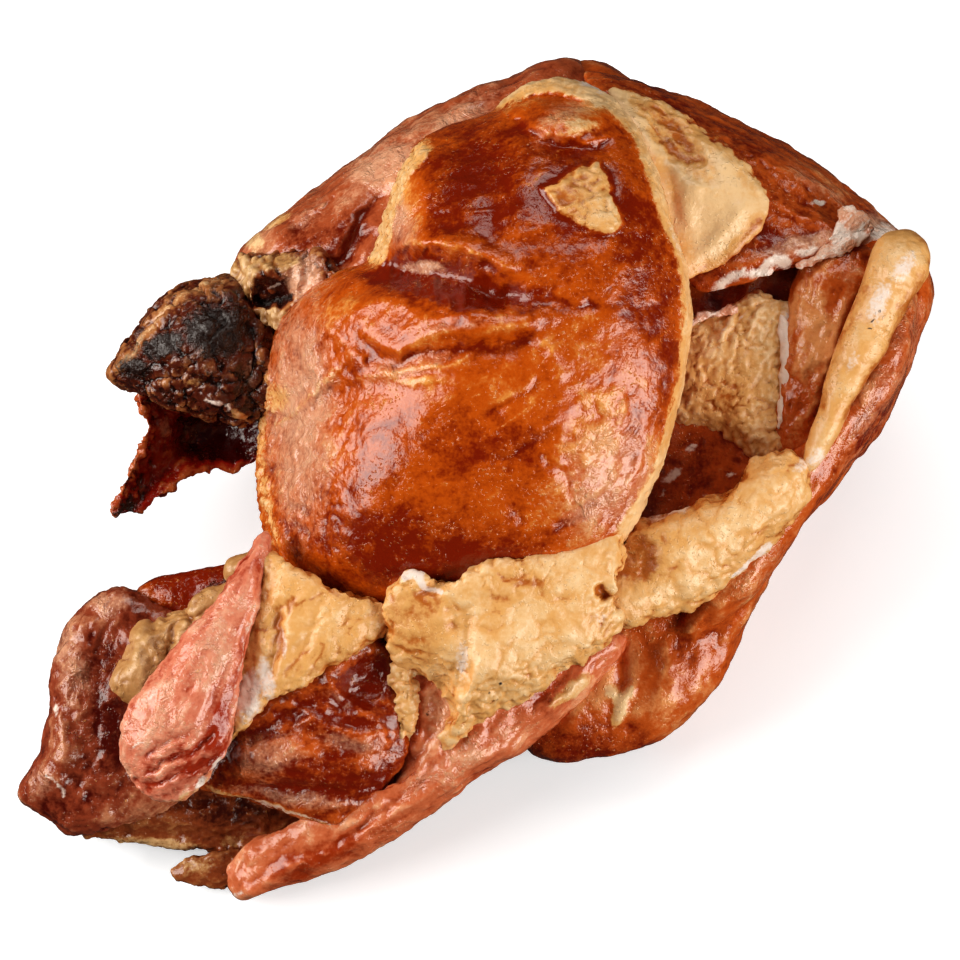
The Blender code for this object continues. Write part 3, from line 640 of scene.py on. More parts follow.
def flesh(name, deep, middle, bright, fats=FAT_COLOURS, gloss=0.15, relief=0.4):
    """Smoked meat in three colours, with fat, torn white skin and painted highlights, char and painted shade,
    and pink tissue and painted sheen where the piece is marked so.
    """
    paint = Paint(name)
    patches, grain, flecks = paint.noise(8, 4, 0.6, 0.6), paint.noise(1.7, 4, 0.6), paint.noise(0.7, 1)
    fine = (grain - 0.5) * 0.5 + (flecks - 0.5) * 0.35
    # tone carries painted shade and painted sheen as well as the meat's own tone
    tone = paint.attribute("tone") + (patches - 0.5) * 0.8 + fine
    meat = paint.mix(tone.between(0.0, 0.5), deep, middle)
    meat = paint.mix(tone.between(0.45, 1.0), meat, bright)
    # Pink tissue and painted sheen: where marked, the meat takes the pale salmon colour of the softboxes'
    # reflection
    meat = paint.mix((paint.attribute("pink_and_sheen") + fine + (patches - 0.5) * 0.8).between(0.1, 0.9), meat, PINK_AND_SHEEN)
    meat = paint.mix(flecks.between(0.66, 0.78) * patches.between(0.42, 0.62) * 0.4, meat, THREAD)
    fat = paint.mix(tone.between(0.0, 0.45), fats["stain"], fats["cream"])
    fat = paint.mix(tone.between(0.45, 1.0), fat, fats["pale"])
    fatness = (paint.attribute("fat") + fine).between(0.3, 0.65)
    # whiteness mixes in torn white skin and painted highlights; charred mixes in char and painted shade in
    # hollows
    whiteness_and_highlight = (paint.attribute("white") + fine * 1.3).between(0.3, 0.75)
    charred_and_shaded = (paint.attribute("char") + fine * 1.5).between(0.3, 0.7)
    colour = paint.mix(fatness, meat, fat)
    colour = paint.mix(whiteness_and_highlight, colour, WHITE_AND_HIGHLIGHT)
    colour = paint.mix(charred_and_shaded, colour, CHAR_AND_SHADE)
    roughness = gloss + fatness * 0.2 + whiteness_and_highlight * 0.15 + charred_and_shaded * 0.12 + (grain - 0.5) * 0.25
    crinkled = paint.attribute("pink_and_sheen").between(0.05, 0.45) * (1 - fatness)
    plates = paint.noise(4.8, 4, 0.6, 0.6).between(0.40, 0.60) * patches.between(0.40, 0.60)
    height = plates * (crinkled * 0.75 + 0.15) + patches * 0.5 + charred_and_shaded * grain * 1.2
    specks = flecks.between(0.58, 0.75) * patches.between(0.4, 0.6)
    height = height + specks * 0.35 + grain * 0.45
    return paint.finish(colour, roughness, height, relief, IOR=1.5, Specular_IOR_Level=0.6)


# ---------------------------------------------------------------- what a piece's skin is made of

# Each of these gives a function of the form that tells how high or how strong something is at each point.


def lumpy(height, size, seed, layers=3):
    return lambda form: height * rough(form.at, size, seed, layers)


def in_zone(form, values, zone):
    """The values in the soft zone alone, or everywhere where there is none."""
    return values * np.clip(form.daub(zone), 0, 1) if zone else values


def wrinkled(height, size, direction, times, seed, zone=()):
    """Sharp little crests that run one way, in the zone alone where one is given."""
    def heights(form):
        run = drawn_out(form.at, direction, times)
        relief = height * (ridges(run, size, seed) - 0.5 + 0.35 * rough(run, size / 2.5, seed + 1, 2))
        return in_zone(form, relief, zone)
    return heights


def lobed(height, size, seed):
    """Round lobes of fat with creases between them."""
    def heights(form):
        at = stirred(form.at, size, seed, 0.3)
        lobes = np.abs(swell(at, size, seed)) + 0.5 * np.abs(swell(at, 0.45 * size, seed + 4))
        return height * (np.minimum(lobes, 0.8) ** 0.6 - 0.55)
    return heights


def daubs(spots):
    return lambda form: form.daub(spots)


def all_over(value, spread=0.0):
    return lambda form: value + spread * swell(form.at, 4, 63)


def seams(height, size, seed, width=0.07):
    """Thin creases that wander over the skin and fade in and out."""
    def heights(form):
        creases = np.exp(-((swell(stirred(form.at, size, seed, 0.25), size, seed) / width) ** 2))
        return height * creases * ease(-0.35, 0.3, swell(form.at, 1.3 * size, seed + 9))
    return heights


def streaks(strength, size, direction, times, seed, zone=()):
    """Fine lines of lighter and darker skin that run one way."""
    def strengths(form):
        lines = strength * rough(drawn_out(form.at, direction, times), size, seed, 3)
        return in_zone(form, lines, zone)
    return strengths


def within(zones, layer):
    """The layer, in the strongest of the zones alone."""
    return lambda form: layer(form) * np.clip(strongest(form, zones), 0, 1)


def faceted(height, size, seed):
    """Angular slanting plates with cracks between them."""
    def heights(form):
        edge, slant = cells(stirred(form.at, size, seed, 0.2), size, seed)
        return height * (slant + 0.3 * ease(0, 0.15, edge))
    return heights


def crest(route, height, left=1.5, right=1.5):
    return lambda form: form.fold(route, height, left, right)


def daub(x, y, length, width, turn=0, strength=1.0):
    return daubs([(x, y, length, width, turn, strength)])


def band(route, half, strength=1.0, soft=0.6):
    return lambda form: strength * form.band(route, half, soft)


def blot(outline, strength=1.0, soft=0.6):
    return lambda form: strength * form.blot(outline, soft)


def total(form, layers):
    return sum((layer(form) for layer in layers), np.zeros(len(form.at)))


def strongest(form, layers):
    return np.maximum.reduce([layer(form) for layer in layers] + [np.zeros(len(form.at))])


def dress(finishes, name, parts, voxel, finish, swells=(), reliefs=(), skins=(), fray=0.0, smoothing=6,
          tone=0.42, tones_and_painted_light=(), creases=0.35, fat=0.0, fats=(), melt=0.0, whites_and_highlights=(), chars_and_shade=(),
          pink_and_sheen=0.0, pinks_and_sheens=()):
    """Models one piece: broad swells, then folds towards the viewer, then fine skin. Then marks its colours.

    The placed marks of fat, of white skin and painted highlights, of char and painted shade and of pink tissue
    and painted sheen reach only skin that doesn't face away from the show side.
    """
    form = Form(name, parts, voxel, smoothing)
    if fray:
        form.fray(fray)
    form.push(total(form, swells))
    form.lift(total(form, reliefs))
    form.push(total(form, skins) + 0.03 * rough(form.at, 1.4, 91, 2))
    edge = form.spread(ease(0.75, 0.2, form.out[:, 2]), 6)
    shown = ease(-0.1, 0.2, form.out[:, 2])
    fatness = np.maximum(fat - melt * edge * (1 + 0.6 * swell(form.at, 5, 45)), shown * strongest(form, fats))
    # Tone holds the meat's own tone and painted light: the listed daubs paint shade and sheen, and each crease
    # is darkened by its depth as painted shade
    shade = tone + 0.10 * rough(form.at, 10, 41) + total(form, tones_and_painted_light) + 0.25 * fatness - 0.6 * melt * edge
    form.mark("tone", shade - creases * np.clip(form.depth(12) / 0.5, -1, 1))
    form.mark("fat", fatness)
    # white holds torn white skin and painted highlights, char holds char and painted shade, blush holds pink
    # tissue and painted sheen
    form.mark("white", shown * strongest(form, whites_and_highlights))
    form.mark("char", shown * strongest(form, chars_and_shade))
    form.mark("pink_and_sheen", pink_and_sheen + shown * strongest(form, pinks_and_sheens))
    return form.finish(finishes[finish])


# ---------------------------------------------------------------- the pieces

FAT = dict(finish="fat", smoothing=3, fat=1.0)

MEATS = {
    "dome": ((0.20, 0.014, 0.0006), (0.52, 0.092, 0.004), (0.84, 0.38, 0.09)),
    "back": ((0.15, 0.012, 0.002), (0.42, 0.095, 0.032), (0.74, 0.34, 0.18)),
    "belly": ((0.18, 0.012, 0.001), (0.52, 0.100, 0.014), (0.80, 0.35, 0.13)),
    "pink": ((0.36, 0.035, 0.010), (0.68, 0.22, 0.13), (0.86, 0.46, 0.31)),
    "slab": ((0.34, 0.040, 0.006), (0.62, 0.165, 0.065), (0.86, 0.42, 0.23)),
    "flap": ((0.08, 0.005, 0.0015), (0.28, 0.055, 0.022), (0.58, 0.25, 0.13)),
    "root": ((0.016, 0.003, 0.0015), (0.11, 0.020, 0.008), (0.42, 0.17, 0.06)),
    "torn": ((0.05, 0.002, 0.001), (0.30, 0.012, 0.003), (0.50, 0.12, 0.03)),
    "fat": ((0.20, 0.014, 0.0006), (0.50, 0.080, 0.004), (0.82, 0.34, 0.07)),
    "olive": ((0.05, 0.006, 0.002), (0.24, 0.055, 0.016), (0.50, 0.22, 0.08), OLIVE_FAT),
}

DOME_RIM = [(3, 82), (10, 86.5), (20, 86.5), (30, 81.5), (35, 76), (38, 68), (40, 60), (42.5, 53), (45, 45),
            (46, 36), (44.5, 22), (40.5, 6), (36.5, -4), (31, -13)]
DOME_RIDGE = [(-12, 73), (-16, 68), (-19, 62), (-21, 55), (-23, 47)]
DOME_EDGE = [(-47, 24), (-47.5, 14), (-48, 4), (-46.5, -6), (-44, -14)]
DOME_SCRAP = [(13.5, 62.3), (17, 64.5), (21.2, 67.4), (25.3, 68.7), (27.6, 65), (27.8, 61.5), (29.5, 58),
              (30.6, 55), (28, 53), (23.3, 53.6), (18.5, 56.3), (16, 59)]
DOME_LEFT = [(-40, 15, 16, 34, 0, 1.0), (-40, -12, 14, 12, 0, 0.6)]
DOME_RIGHT = [(29, 0, 22, 13, 62, 1.0)]

# In the pieces, tones give the meat's own tone with painted shade and painted sheen, whites give torn white
# skin and painted highlights, chars give char and painted shade in hollows, and blushes give pink tissue and
# painted sheen
PIECES = [
    dict(name="meat_dome", parts=["dome", "top_hood"], voxel=0.6, finish="dome", tone=0.38,
        swells=[lumpy(0.7, 22, 1, 2), lumpy(0.22, 7, 2, 2)],
        reliefs=[crest([(-21, 46.5), (-13, 45), (-5, 43), (3, 40), (11, 38)], -5.0, 3.6, 3.2),
            crest([(-22, 51), (-8, 50.5), (1, 48), (8, 43.5)], 2.8, 3.4, 1.2),
            crest([(-34, 34), (-28, 29), (-24, 22)], 0.9, 1.4, 2.0),
            crest([(14, 40), (20, 37), (26, 38)], -1.0, 1.0, 2.0),
            crest([(10, 33), (16, 27), (17, 20)], 0.8, 2.0, 1.4),
            crest([(-31, 37), (-20, 39), (-8, 37), (6, 35), (14, 36)], 2.0, 1.6, 3.5),
            daub(-6, 33, 11, 3.5, -3, 1.3),
            crest([(-25, 33), (-19, 27.5), (-13, 30.5), (-6, 32), (4, 32), (13, 35)], 1.1, 3.0, 1.6),
            crest([(-26, 30), (-18, 26), (-11, 27.5), (-4, 28), (6, 29), (14, 32)], -1.7, 1.2, 3.0),
            crest([(-46, 12), (-40, 15), (-35, 20), (-29, 26)], 1.3, 1.6, 1.3),
            daub(-44, 18.5, 5, 4, 10, 1.4), crest([(-48, 15), (-44, 13.6), (-39, 13)], -1.3, 1.0, 1.2),
            crest([(-27, 22), (-20, 22.5), (-16, 21), (-7, 22)], 0.6, 1.0, 1.0),
            crest([(-20, 23), (-14, 24.3), (-9, 24.3), (-4, 25.5), (0, 28)], 0.7, 0.9, 0.9),
            crest([(3.5, 4), (8, 6), (12, 8.5), (17, 11)], -0.9, 0.8, 2.6),
            crest([(1, 14), (5, 16), (9.5, 18.3), (13, 21.4)], -0.8, 0.8, 2.2),
            crest([(13, 6), (16, 3), (18, 1.4), (20.5, -3.5)], -0.6, 0.9, 1.2),
            crest([(17.5, 8.4), (21.5, 8.4), (26, 5.5)], -0.6, 0.9, 1.4),
            crest([(7, -6), (10, -10)], -0.6, 0.9, 1.2),
            crest([(32, 22), (33, 14), (32, 4), (31, 0)], -0.8, 1.8, 1.8),
            crest([(26, -4), (21, -8), (15, -11)], -0.8, 1.5, 1.8),
            crest([(-48, 1), (-44, 3), (-40, 2)], -1.4, 1.0, 1.2),
            crest([(-46, -3), (-41, -5), (-36, -8)], -0.8, 0.9, 1.4),
            crest([(-45, -8), (-40, -10), (-35, -13)], -0.8, 0.9, 1.4),
            crest([(6, 79), (11, 75), (17, 72.5), (24, 71.5), (29, 74)], -2.2, 1.2, 2.4),
            crest([(8, 83), (15, 83.5), (23, 82)], -1.2, 1.0, 1.4), daub(24, 14, 3.5, 2.5, 0, -0.9),
            daub(20, 3, 2.5, 3.5, 0, -0.7), daub(-12, 44, 9, 3.5, -5, -1.2), daub(15, 27, 1.6, 3.5, 0, 0.6),
            daub(19, 77.5, 8, 3.4, 12, 2.4), daub(-5, 12, 10, 8, 20, -0.9), daub(-33, 10, 5, 4, 20, 0.7),
            daub(-38, 28, 5, 6, 30, 0.8), daub(-18, 41, 3.5, 1.4, 0, 0.9), daub(3, 60, 14, 10, 0, 0.8),
            daub(27, 45, 8, 12, 0, 0.6), daub(-25, -10, 8, 6, 0, 0.6), band(DOME_RIM, 2.2, 0.8, 1.4),
            band(DOME_RIDGE, 2.3, 1.3, 1.2), blot(DOME_SCRAP, 2.4, 1.0)],
        skins=[within([daubs(DOME_LEFT)], lobed(0.7, 4.6, 79)),
            wrinkled(0.25, 4.6, (1, 0.9, 0), 1.5, 3, DOME_LEFT),
            wrinkled(0.4, 5.0, (0.5, 1, 0), 2.0, 5, DOME_RIGHT), wrinkled(0.14, 6.0, (1, 0.5, 0), 2.4, 8),
            lumpy(0.07, 2.6, 15, 2), wrinkled(0.3, 4.5, (1, 0.12, 0), 3.0, 11, [(3, 60, 26, 15, 0, 1.0)]),
            wrinkled(0.6, 5.0, (1, 0.1, 0), 2.4, 13, [(0, 38, 20, 8, 0, 1.0)]),
            within([band(DOME_RIDGE, 2.6, 1.0, 1.2)], lobed(1.5, 2.6, 71)),
            within([blot(DOME_SCRAP)], lobed(1.3, 4.2, 75)),
            within([band(DOME_RIM, 2.2, 1.0, 1.2)], lobed(0.6, 3.0, 73)),
            within([band(DOME_EDGE, 2.6, 1.0, 2)], lobed(1.3, 3.4, 77))],
        # Painted shade and sheen: the daubs at (-10, 43), (4, 39) and (6, 36) darken the hollow under the fold,
        # and the one at (27, 2) lightens the lower right
        tones_and_painted_light=[daub(14, 18, 24, 16, 35, 0.14), daub(-14, 20, 12, 5, 10, 0.15), daub(3, 64, 26, 15, 0, -0.3),
            daub(-10, 43, 13, 4.5, -5, -0.65), daub(4, 39, 11, 2.2, 8, -0.5), daub(6, 36, 12, 3, 0, -0.2),
            daub(-16, -15, 22, 10, -10, -0.3), daub(4, -20, 24, 7, 0, -0.2), daub(27, 2, 13, 16, -20, 0.24),
            daub(-38, 12, 12, 28, 0, 0.0), daub(-30, 8, 4, 14, 0, 0.12), daub(6, 6, 10, 5, 25, -0.25),
            daub(34, 45, 10, 18, 0, -0.22), daub(-5, 10, 12, 6, 0, -0.15), daub(-15, 60, 3, 8, 10, 0.5),
            daub(-24, 2, 8, 5, 20, -0.15), daub(20, 79, 8, 4, 30, 0.35), daub(24, 55, 6, 2, 0, -0.2),
            daub(40, 22, 3, 24, 0, -0.15), band(DOME_RIM, 1.4, 0.2, 1.6), daub(19, 58, 4, 6, 30, -0.35),
            daub(-30, 37, 8, 3, 10, 0.2), daub(33, 10, 2, 9, 0, -0.25), daub(21, -8, 6, 1.5, 30, -0.25),
            streaks(0.13, 6.0, (1, 0.6, 0), 2.6, 31), streaks(0.07, 2.4, (0.8, 0.5, 0), 1.8, 33)],
        fats=[daub(22, 76.5, 5, 2.4, 10, 0.62), band(DOME_RIM, 2.3, 1.0, 2.2),
            band(DOME_RIDGE, 2.3, 0.95, 1.6), blot(DOME_SCRAP),
            band([(5.2, 12.3), (3, 10.5), (0.7, 8.8)], 0.3, 0.55),
            band([(5.2, 12.3), (8.7, 14.4), (14, 21.4)], 0.3, 0.5),
            band([(13, 6), (15.8, 3.2), (17.8, 1.4), (20.3, -3.5)], 0.3, 0.5),
            band([(17.5, 8.4), (21.4, 8.4), (25.6, 5.6)], 0.3, 0.5), band([(7, -6), (9.8, -9.8)], 0.3, 0.5),
            band([(-3.5, 26), (1, 29)], 0.3, 0.5), band([(-2.2, 17.6), (2.8, 19.7)], 0.3, 0.5),
            band([(-20.5, 23), (-14, 24.3), (-9.2, 24.3), (-4.4, 25.3), (-1, 27.8)], 0.6, 0.5, 1.2),
            band([(-27, 22), (-20.5, 22.4), (-17.2, 20.7), (-7.6, 21.7)], 0.6, 0.5, 1.2),
            daub(-44.5, 18, 4.5, 4.5, 10, 0.55), band(DOME_EDGE, 1.6, 0.55, 2.0),
            band([(-45, 12), (-40, 15), (-35, 20), (-29, 26)], 0.9, 0.5, 1.4),
            band([(9, 64), (12, 64), (14, 70)], 0.3, 0.55),
            band([(16, 68), (17, 71), (22, 72)], 0.3, 0.55)],
        # Painted highlights: the white daubs on the top rim at (25, 86.3) and on the fold's lip at (-11.5,
        # 46.2)
        whites_and_highlights=[daub(25, 86.3, 6, 1.4, -20, 0.7), daub(-11.5, 46.2, 3.0, 0.8, -10, 0.5),
            daub(42, 52, 1.2, 7, 10, 0.45)],
        # Painted sheen: the broad daubs at (-39, 14) and (28, 0) and those on the fold's lip
        pinks_and_sheens=[daub(-13, 45.5, 5, 1.0, -5, 0.6), daub(-17, 56, 3.5, 8, 10, 0.55),
            daub(-11.5, 46.3, 3.5, 1.0, -10, 0.9), daub(-39, 14, 9, 27, 0, 0.62),
            daub(28, 0, 12, 15, -20, 0.5), daub(-3, 33, 16, 1.2, 4, 0.3), daub(-16, 24, 12, 3, 10, 0.35),
            daub(19, 79, 8, 5, 30, 0.4)]),
    dict(name="rump", parts=["core", "rump", "front_core", "right_wall"], voxel=0.88, finish="belly",
        swells=[lumpy(0.8, 16, 1), lumpy(0.3, 6, 2)],
        reliefs=[crest([(12, -40), (10, -50), (8, -59)], -1.8, 1.5, 2.0),
            crest([(22, -38), (21, -48), (19, -58)], 1.0, 2.5, 2.5),
            crest([(30, -34), (31, -44), (29, -55)], -1.4, 1.5, 2.0),
            crest([(40, -33), (41, -44), (38, -54)], 0.9, 2.5, 2.0),
            crest([(28.3, -45), (30.6, -49.5), (30, -54)], 1.5, 1.3, 1.3),
            crest([(33.4, -45), (30.6, -49.5)], 1.1, 1.0, 1.0),
            crest([(48, -28), (52, -36), (50, -46)], -0.9, 2.0, 2.0),
            crest([(8, -58), (22, -45), (30, -35)], -1.4),
            crest([(93, 40), (90, 28), (84, 14), (76, 4), (66, -8)], -0.8, 1.5, 2.0)],
        skins=[wrinkled(0.3, 6.0, (0.25, 1, 0), 2.5, 3), lumpy(0.1, 2.6, 15, 2)],
        tones_and_painted_light=[streaks(0.15, 4, (0.25, 1, 0), 3.0, 31), daub(28, -44, 22, 10, -15, 0.26),
            daub(22, -59, 24, 7, -8, -0.4), daub(48, 2, 17, 13, 0, -0.1), daub(90, 20, 5, 24, -25, -0.1),
            daub(60, -28, 14, 6, 40, 0.1), daub(84, 6, 6, 14, -30, -0.15), daub(12, -52, 3, 8, 0, -0.25)],
        fats=[band([(28.3, -45), (30.6, -49.5), (30, -54)], 1.4, 0.8, 1.0),
            band([(33.4, -45), (30.6, -49.5)], 1.0, 0.8, 0.9)],
        whites_and_highlights=[daub(19.5, -42.5, 3, 1.6, 20, 0.6), daub(27, -38.5, 2.2, 2.6, 0, 0.55),
            daub(42, 1, 3, 1, 35, 0.8), daub(50, -4, 2, 1, -30, 0.7), daub(38.5, 4, 2.5, 0.7, 60, 0.7),
            daub(46, 7, 1.5, 1, 0, 0.7), daub(40, -3, 1.5, 0.8, 60, 0.7), daub(55, 1, 1.2, 0.8, 0, 0.7),
            daub(72, 3, 4, 2, 50, 0.6)],
        # Painted sheen: the long daub down the right wall
        pinks_and_sheens=[daub(89, 22, 6, 24, -28, 0.34), daub(62, -20, 12, 4, 40, 0.25)]),
    dict(name="loin", parts=["loin"], voxel=0.65, finish="back",
        swells=[lumpy(0.8, 16, 1), lumpy(0.3, 6, 2)],
        reliefs=[crest([(-10, 79), (-24, 71), (-34, 62), (-46, 56)], 1.5, 3.0, 3.0),
            crest([(-20, 66), (-25, 58), (-29, 50), (-33, 46)], -2.6, 2.5, 1.5),
            crest([(-31, 62), (-38, 57), (-42, 54)], -1.5, 1.5, 2.0),
            crest([(-6, 84), (-16, 77), (-26, 68), (-33, 58)], -1.1, 1.5, 2.5),
            crest([(4, 84), (-4, 79), (-12, 74)], -0.9, 1.5, 2.0),
            crest([(-16, 71), (-22, 63), (-27, 54)], 0.9)],
        skins=[wrinkled(0.35, 6.5, (1, 0.8, 0), 2.5, 3), lumpy(0.1, 2.6, 15, 2)],
        tones_and_painted_light=[streaks(0.15, 4, (1, 0.8, 0), 3.0, 31), daub(-48, 53, 5, 4, 40, 0.3),
            daub(-28, 56, 3, 10, -20, -0.4), daub(-24, 66, 11, 5, 40, 0.12), daub(8, 87, 16, 4, 10, 0.0),
            daub(-38, 48, 6, 6, 0, -0.3), daub(-18, 71, 18, 6, 38, 0.25), daub(-12, 74, 10, 3, 35, -0.1)],
        fats=[daub(-50, 53, 3, 4, 40, 0.6), daub(-45, 57, 5, 1.5, 35, 0.6)],
        pinks_and_sheens=[daub(-22, 69, 13, 5, 42, 0.5), daub(-5, 79, 12, 3.5, 35, 0.45),
            daub(-38, 58, 8, 3, 40, 0.3)]),
    dict(name="upper_meat", parts=["upper_meat"], voxel=0.55, finish="belly", tone=0.32,
        swells=[lumpy(0.6, 14, 1), lumpy(0.3, 5, 2)],
        reliefs=[crest([(36, 80), (50, 74), (66, 64), (80, 55)], -1.0, 2.0, 2.5),
            crest([(62, 72), (74, 64), (84, 56)], 1.0, 2.0, 2.0),
            crest([(44, 50), (56, 47), (66, 49), (78, 53)], 0.8),
            crest([(60, 60), (68, 56), (76, 53)], -0.8, 1.5, 2.0)],
        skins=[wrinkled(0.35, 5.0, (1, -0.6, 0), 2.5, 3), lumpy(0.1, 2.4, 15, 2)],
        tones_and_painted_light=[streaks(0.22, 3.5, (1, -0.6, 0), 3.0, 31), daub(72, 66, 12, 4, -32, 0.15),
            daub(64, 54, 8, 5, -20, -0.2), daub(40, 82, 12, 3, -25, -0.1)],
        whites_and_highlights=[
            within([band([(50, 41.5), (58, 45), (66, 48), (74, 51)], 1.5, 1.0, 1.2)], all_over(0.5, 0.8)),
            daub(88, 54, 4, 3, 20, 0.7), daub(74, 60.5, 1.8, 0.9, 0, 0.9), daub(66, 47, 2, 1.2, 0, 0.9)],
        # The pink daub at the right end (86, 54) is painted sheen
        pinks_and_sheens=[daub(86, 54, 9, 5, 30, 0.7), daub(70, 51, 12, 2.5, 15, 0.6),
            daub(74, 64, 10, 2, -35, 0.4)]),
    dict(name="cavity_strip", parts=["cavity_strip"], voxel=0.5, finish="belly", tone=0.58,
        swells=[lumpy(0.5, 10, 1), lumpy(0.25, 4, 2)],
        reliefs=[crest([(81, 44), (77, 30), (72, 14)], 0.9),
            crest([(84, 42), (79, 27), (74, 12)], -1.0, 1.5, 1.5)],
        skins=[wrinkled(0.45, 4.0, (0.3, 1, 0), 2.5, 3), lumpy(0.1, 1.8, 15, 2)],
        # Painted shadow: the dark band down the gap beside the upper roll
        tones_and_painted_light=[band([(86, 46), (82, 34), (77, 20), (73, 8)], 1.8, -0.5, 1.5), daub(74, 32, 4, 12, 15, 0.35),
            streaks(0.2, 3, (0.3, 1, 0), 3, 31), daub(82, 49, 5, 3, 0, -0.2)],
        pinks_and_sheens=[daub(80, 46, 3, 4, 0, 0.3)]),
    dict(name="lower_slab", parts=["lower_slab"], voxel=0.55, finish="slab", tone=0.5,
        swells=[lumpy(0.6, 14, 1), lumpy(0.3, 5, 2)],
        reliefs=[crest([(-48, -88), (-30, -80), (-10, -68), (8, -56)], 0.8, 2.0, 2.0),
            crest([(-17, -38), (-17, -50), (-19, -60)], -1.5, 2.0, 1.5),
            crest([(-44, -84), (-28, -77), (-14, -66), (-4, -56)], -1.3, 1.5, 1.5),
            crest([(-8, -44), (-10, -54), (-16, -64)], -0.9, 1.5, 2.0),
            crest([(2, -48), (-2, -58), (-8, -66)], 0.8, 2.0, 2.0),
            crest([(24, -36), (14, -46), (6, -54)], -1.0, 1.5, 2.0),
            crest([(13, -51), (19, -47), (26, -42)], 1.3, 1.5, 1.5)],
        skins=[wrinkled(0.45, 5.0, (1, 0.65, 0), 2.2, 3), lumpy(0.12, 2.4, 15, 2)],
        tones_and_painted_light=[streaks(0.2, 3.4, (1, 0.65, 0), 3.0, 31), daub(-40, -85, 14, 3, 22, -0.25),
            daub(-4, -50, 12, 8, 0, 0.12), daub(-13.5, -51, 1.2, 7, -8, -0.5),
            daub(-8.5, -51, 3, 6, -8, 0.3), daub(16, -44, 14, 3, 40, -0.25),
            daub(-28, -79, 14, 2, 28, -0.2)], fats=[daub(20, -45.5, 7, 2.0, 38, 0.75)],
        chars_and_shade=[daub(-11, -51, 0.5, 0.5, 0, 0.7), daub(-9, -47, 0.4, 0.4, 0, 0.7)],
        whites_and_highlights=[daub(-53, -91, 2, 0.8, 30, 0.6), daub(18.5, -40.5, 2.2, 1.6, 20, 0.6),
            daub(25, -36, 2.2, 2.2, 30, 0.55)],
        pinks_and_sheens=[daub(-8, -62, 18, 5, 32, 0.35), daub(-8.5, -51, 3, 7, -8, 0.4)]),
    dict(name="shank", parts=["shank"], voxel=0.5, finish="belly", tone=0.2,
        swells=[lumpy(0.8, 12, 1), lumpy(0.35, 5, 2)],
        reliefs=[daub(-25, -44, 6, 4.5, 40, -3.2),
            crest([(-56, -62), (-44, -60), (-32, -60), (-22, -64)], 0.9, 2.5, 2.5),
            crest([(-52, -56), (-42, -51), (-34, -47), (-28, -50)], -1.0, 1.5, 2.0),
            crest([(-50, -66), (-38, -67), (-28, -68)], -1.6, 1.2, 1.8),
            crest([(-38, -50), (-32, -54), (-22, -56)], 1.6, 1.4, 2.6),
            crest([(-54, -60), (-46, -57), (-38, -57)], 1.2, 1.2, 2.0),
            crest([(-34, -42), (-28, -49), (-20, -52)], 1.0, 1.0, 2.4),
            crest([(-60, -66.5), (-50, -69.5), (-40, -72), (-30, -74), (-21, -69)], 0.8, 1.2, 1.2)],
        skins=[wrinkled(0.4, 5.0, (1, -0.2, 0), 2.2, 3), lumpy(0.1, 2.4, 15, 2)],
        tones_and_painted_light=[streaks(0.2, 3.4, (1, -0.2, 0), 3.5, 31), daub(-25, -44, 7, 5, 40, -0.4),
            daub(-36, -66, 12, 3, 0, -0.2), daub(-40, -58, 10, 3, 8, 0.15), daub(-46, -54, 5, 3, 30, -0.2)],
        fats=[band([(-60, -66.3), (-50, -69.5), (-40, -72.3), (-30, -74.3), (-21, -69.5)], 0.5, 0.6)],
        whites_and_highlights=[band([(-52, -69.2), (-40, -72.4), (-30, -74.4)], 0.4, 0.6)],
        pinks_and_sheens=[daub(-47, -60, 9, 5, 5, 0.45), daub(-28, -57, 7, 2.5, -10, 0.4),
            daub(-40, -69, 16, 1.8, -8, 0.45), daub(-30, -48, 5, 1.2, -40, 0.35)]),
    dict(name="side_flap", parts=["side_flap"], voxel=0.55, finish="flap", tone=0.42,
        swells=[lumpy(0.8, 14, 1), lumpy(0.3, 5, 2)],
        reliefs=[crest([(-84, -28), (-89, -42), (-91, -58), (-93, -70)], 1.2, 2.0, 3.0),
            crest([(-78, -30), (-83, -44), (-84, -60), (-86, -74)], -0.6, 2.5, 4.0),
            crest([(-72, -54), (-76, -66), (-80, -76)], -0.8, 2.0, 2.5),
            crest([(-95, -60), (-88, -66), (-80, -70)], -0.8),
            crest([(-94, -46), (-89, -52), (-86, -60)], -0.7), crest([(-86, -34), (-92, -40)], -0.7)],
        skins=[wrinkled(0.45, 4.0, (0.15, 1, 0), 1.8, 3), lumpy(0.12, 2.2, 15, 2)],
        tones_and_painted_light=[streaks(0.18, 2.6, (0.15, 1, 0), 2, 31), daub(-74, -73, 8, 4.5, 20, 0.3),
            daub(-92, -73, 6, 5, 0, -0.2), daub(-91, -42, 5, 14, 5, 0.12), daub(-81, -50, 4, 16, 5, -0.3),
            daub(-86, -30, 6, 5, 0, 0.2), daub(-74, -66, 6, 8, 20, 0.05)],
        # Painted highlights: a comma of wet glint near the lower left and a short one on the left edge
        whites_and_highlights=[band([(-95, -64.7), (-92.4, -65.6), (-90.6, -69)], 0.6, 0.6),
            daub(-92.5, -50, 0.8, 2, 10, 0.6)],
        pinks_and_sheens=[daub(-90, -38, 5, 12, 8, 0.4), daub(-96, -66, 3, 4, 30, 0.4),
            daub(-80, -27, 6, 3, 10, 0.5)]),
    dict(name="under_flap", parts=["under_flap", "leaf"], voxel=0.5, finish="olive", fray=0.8, tone=0.46,
        swells=[lumpy(0.6, 10, 1), lumpy(0.3, 4, 2)],
        reliefs=[crest([(-84, -78), (-70, -77), (-56, -78), (-44, -78)], -1.2, 1.5, 1.5),
            crest([(-74, -79), (-66, -80), (-58, -81)], 0.7)],
        skins=[wrinkled(0.5, 2.6, (1, 0.1, 0), 2.0, 3)],
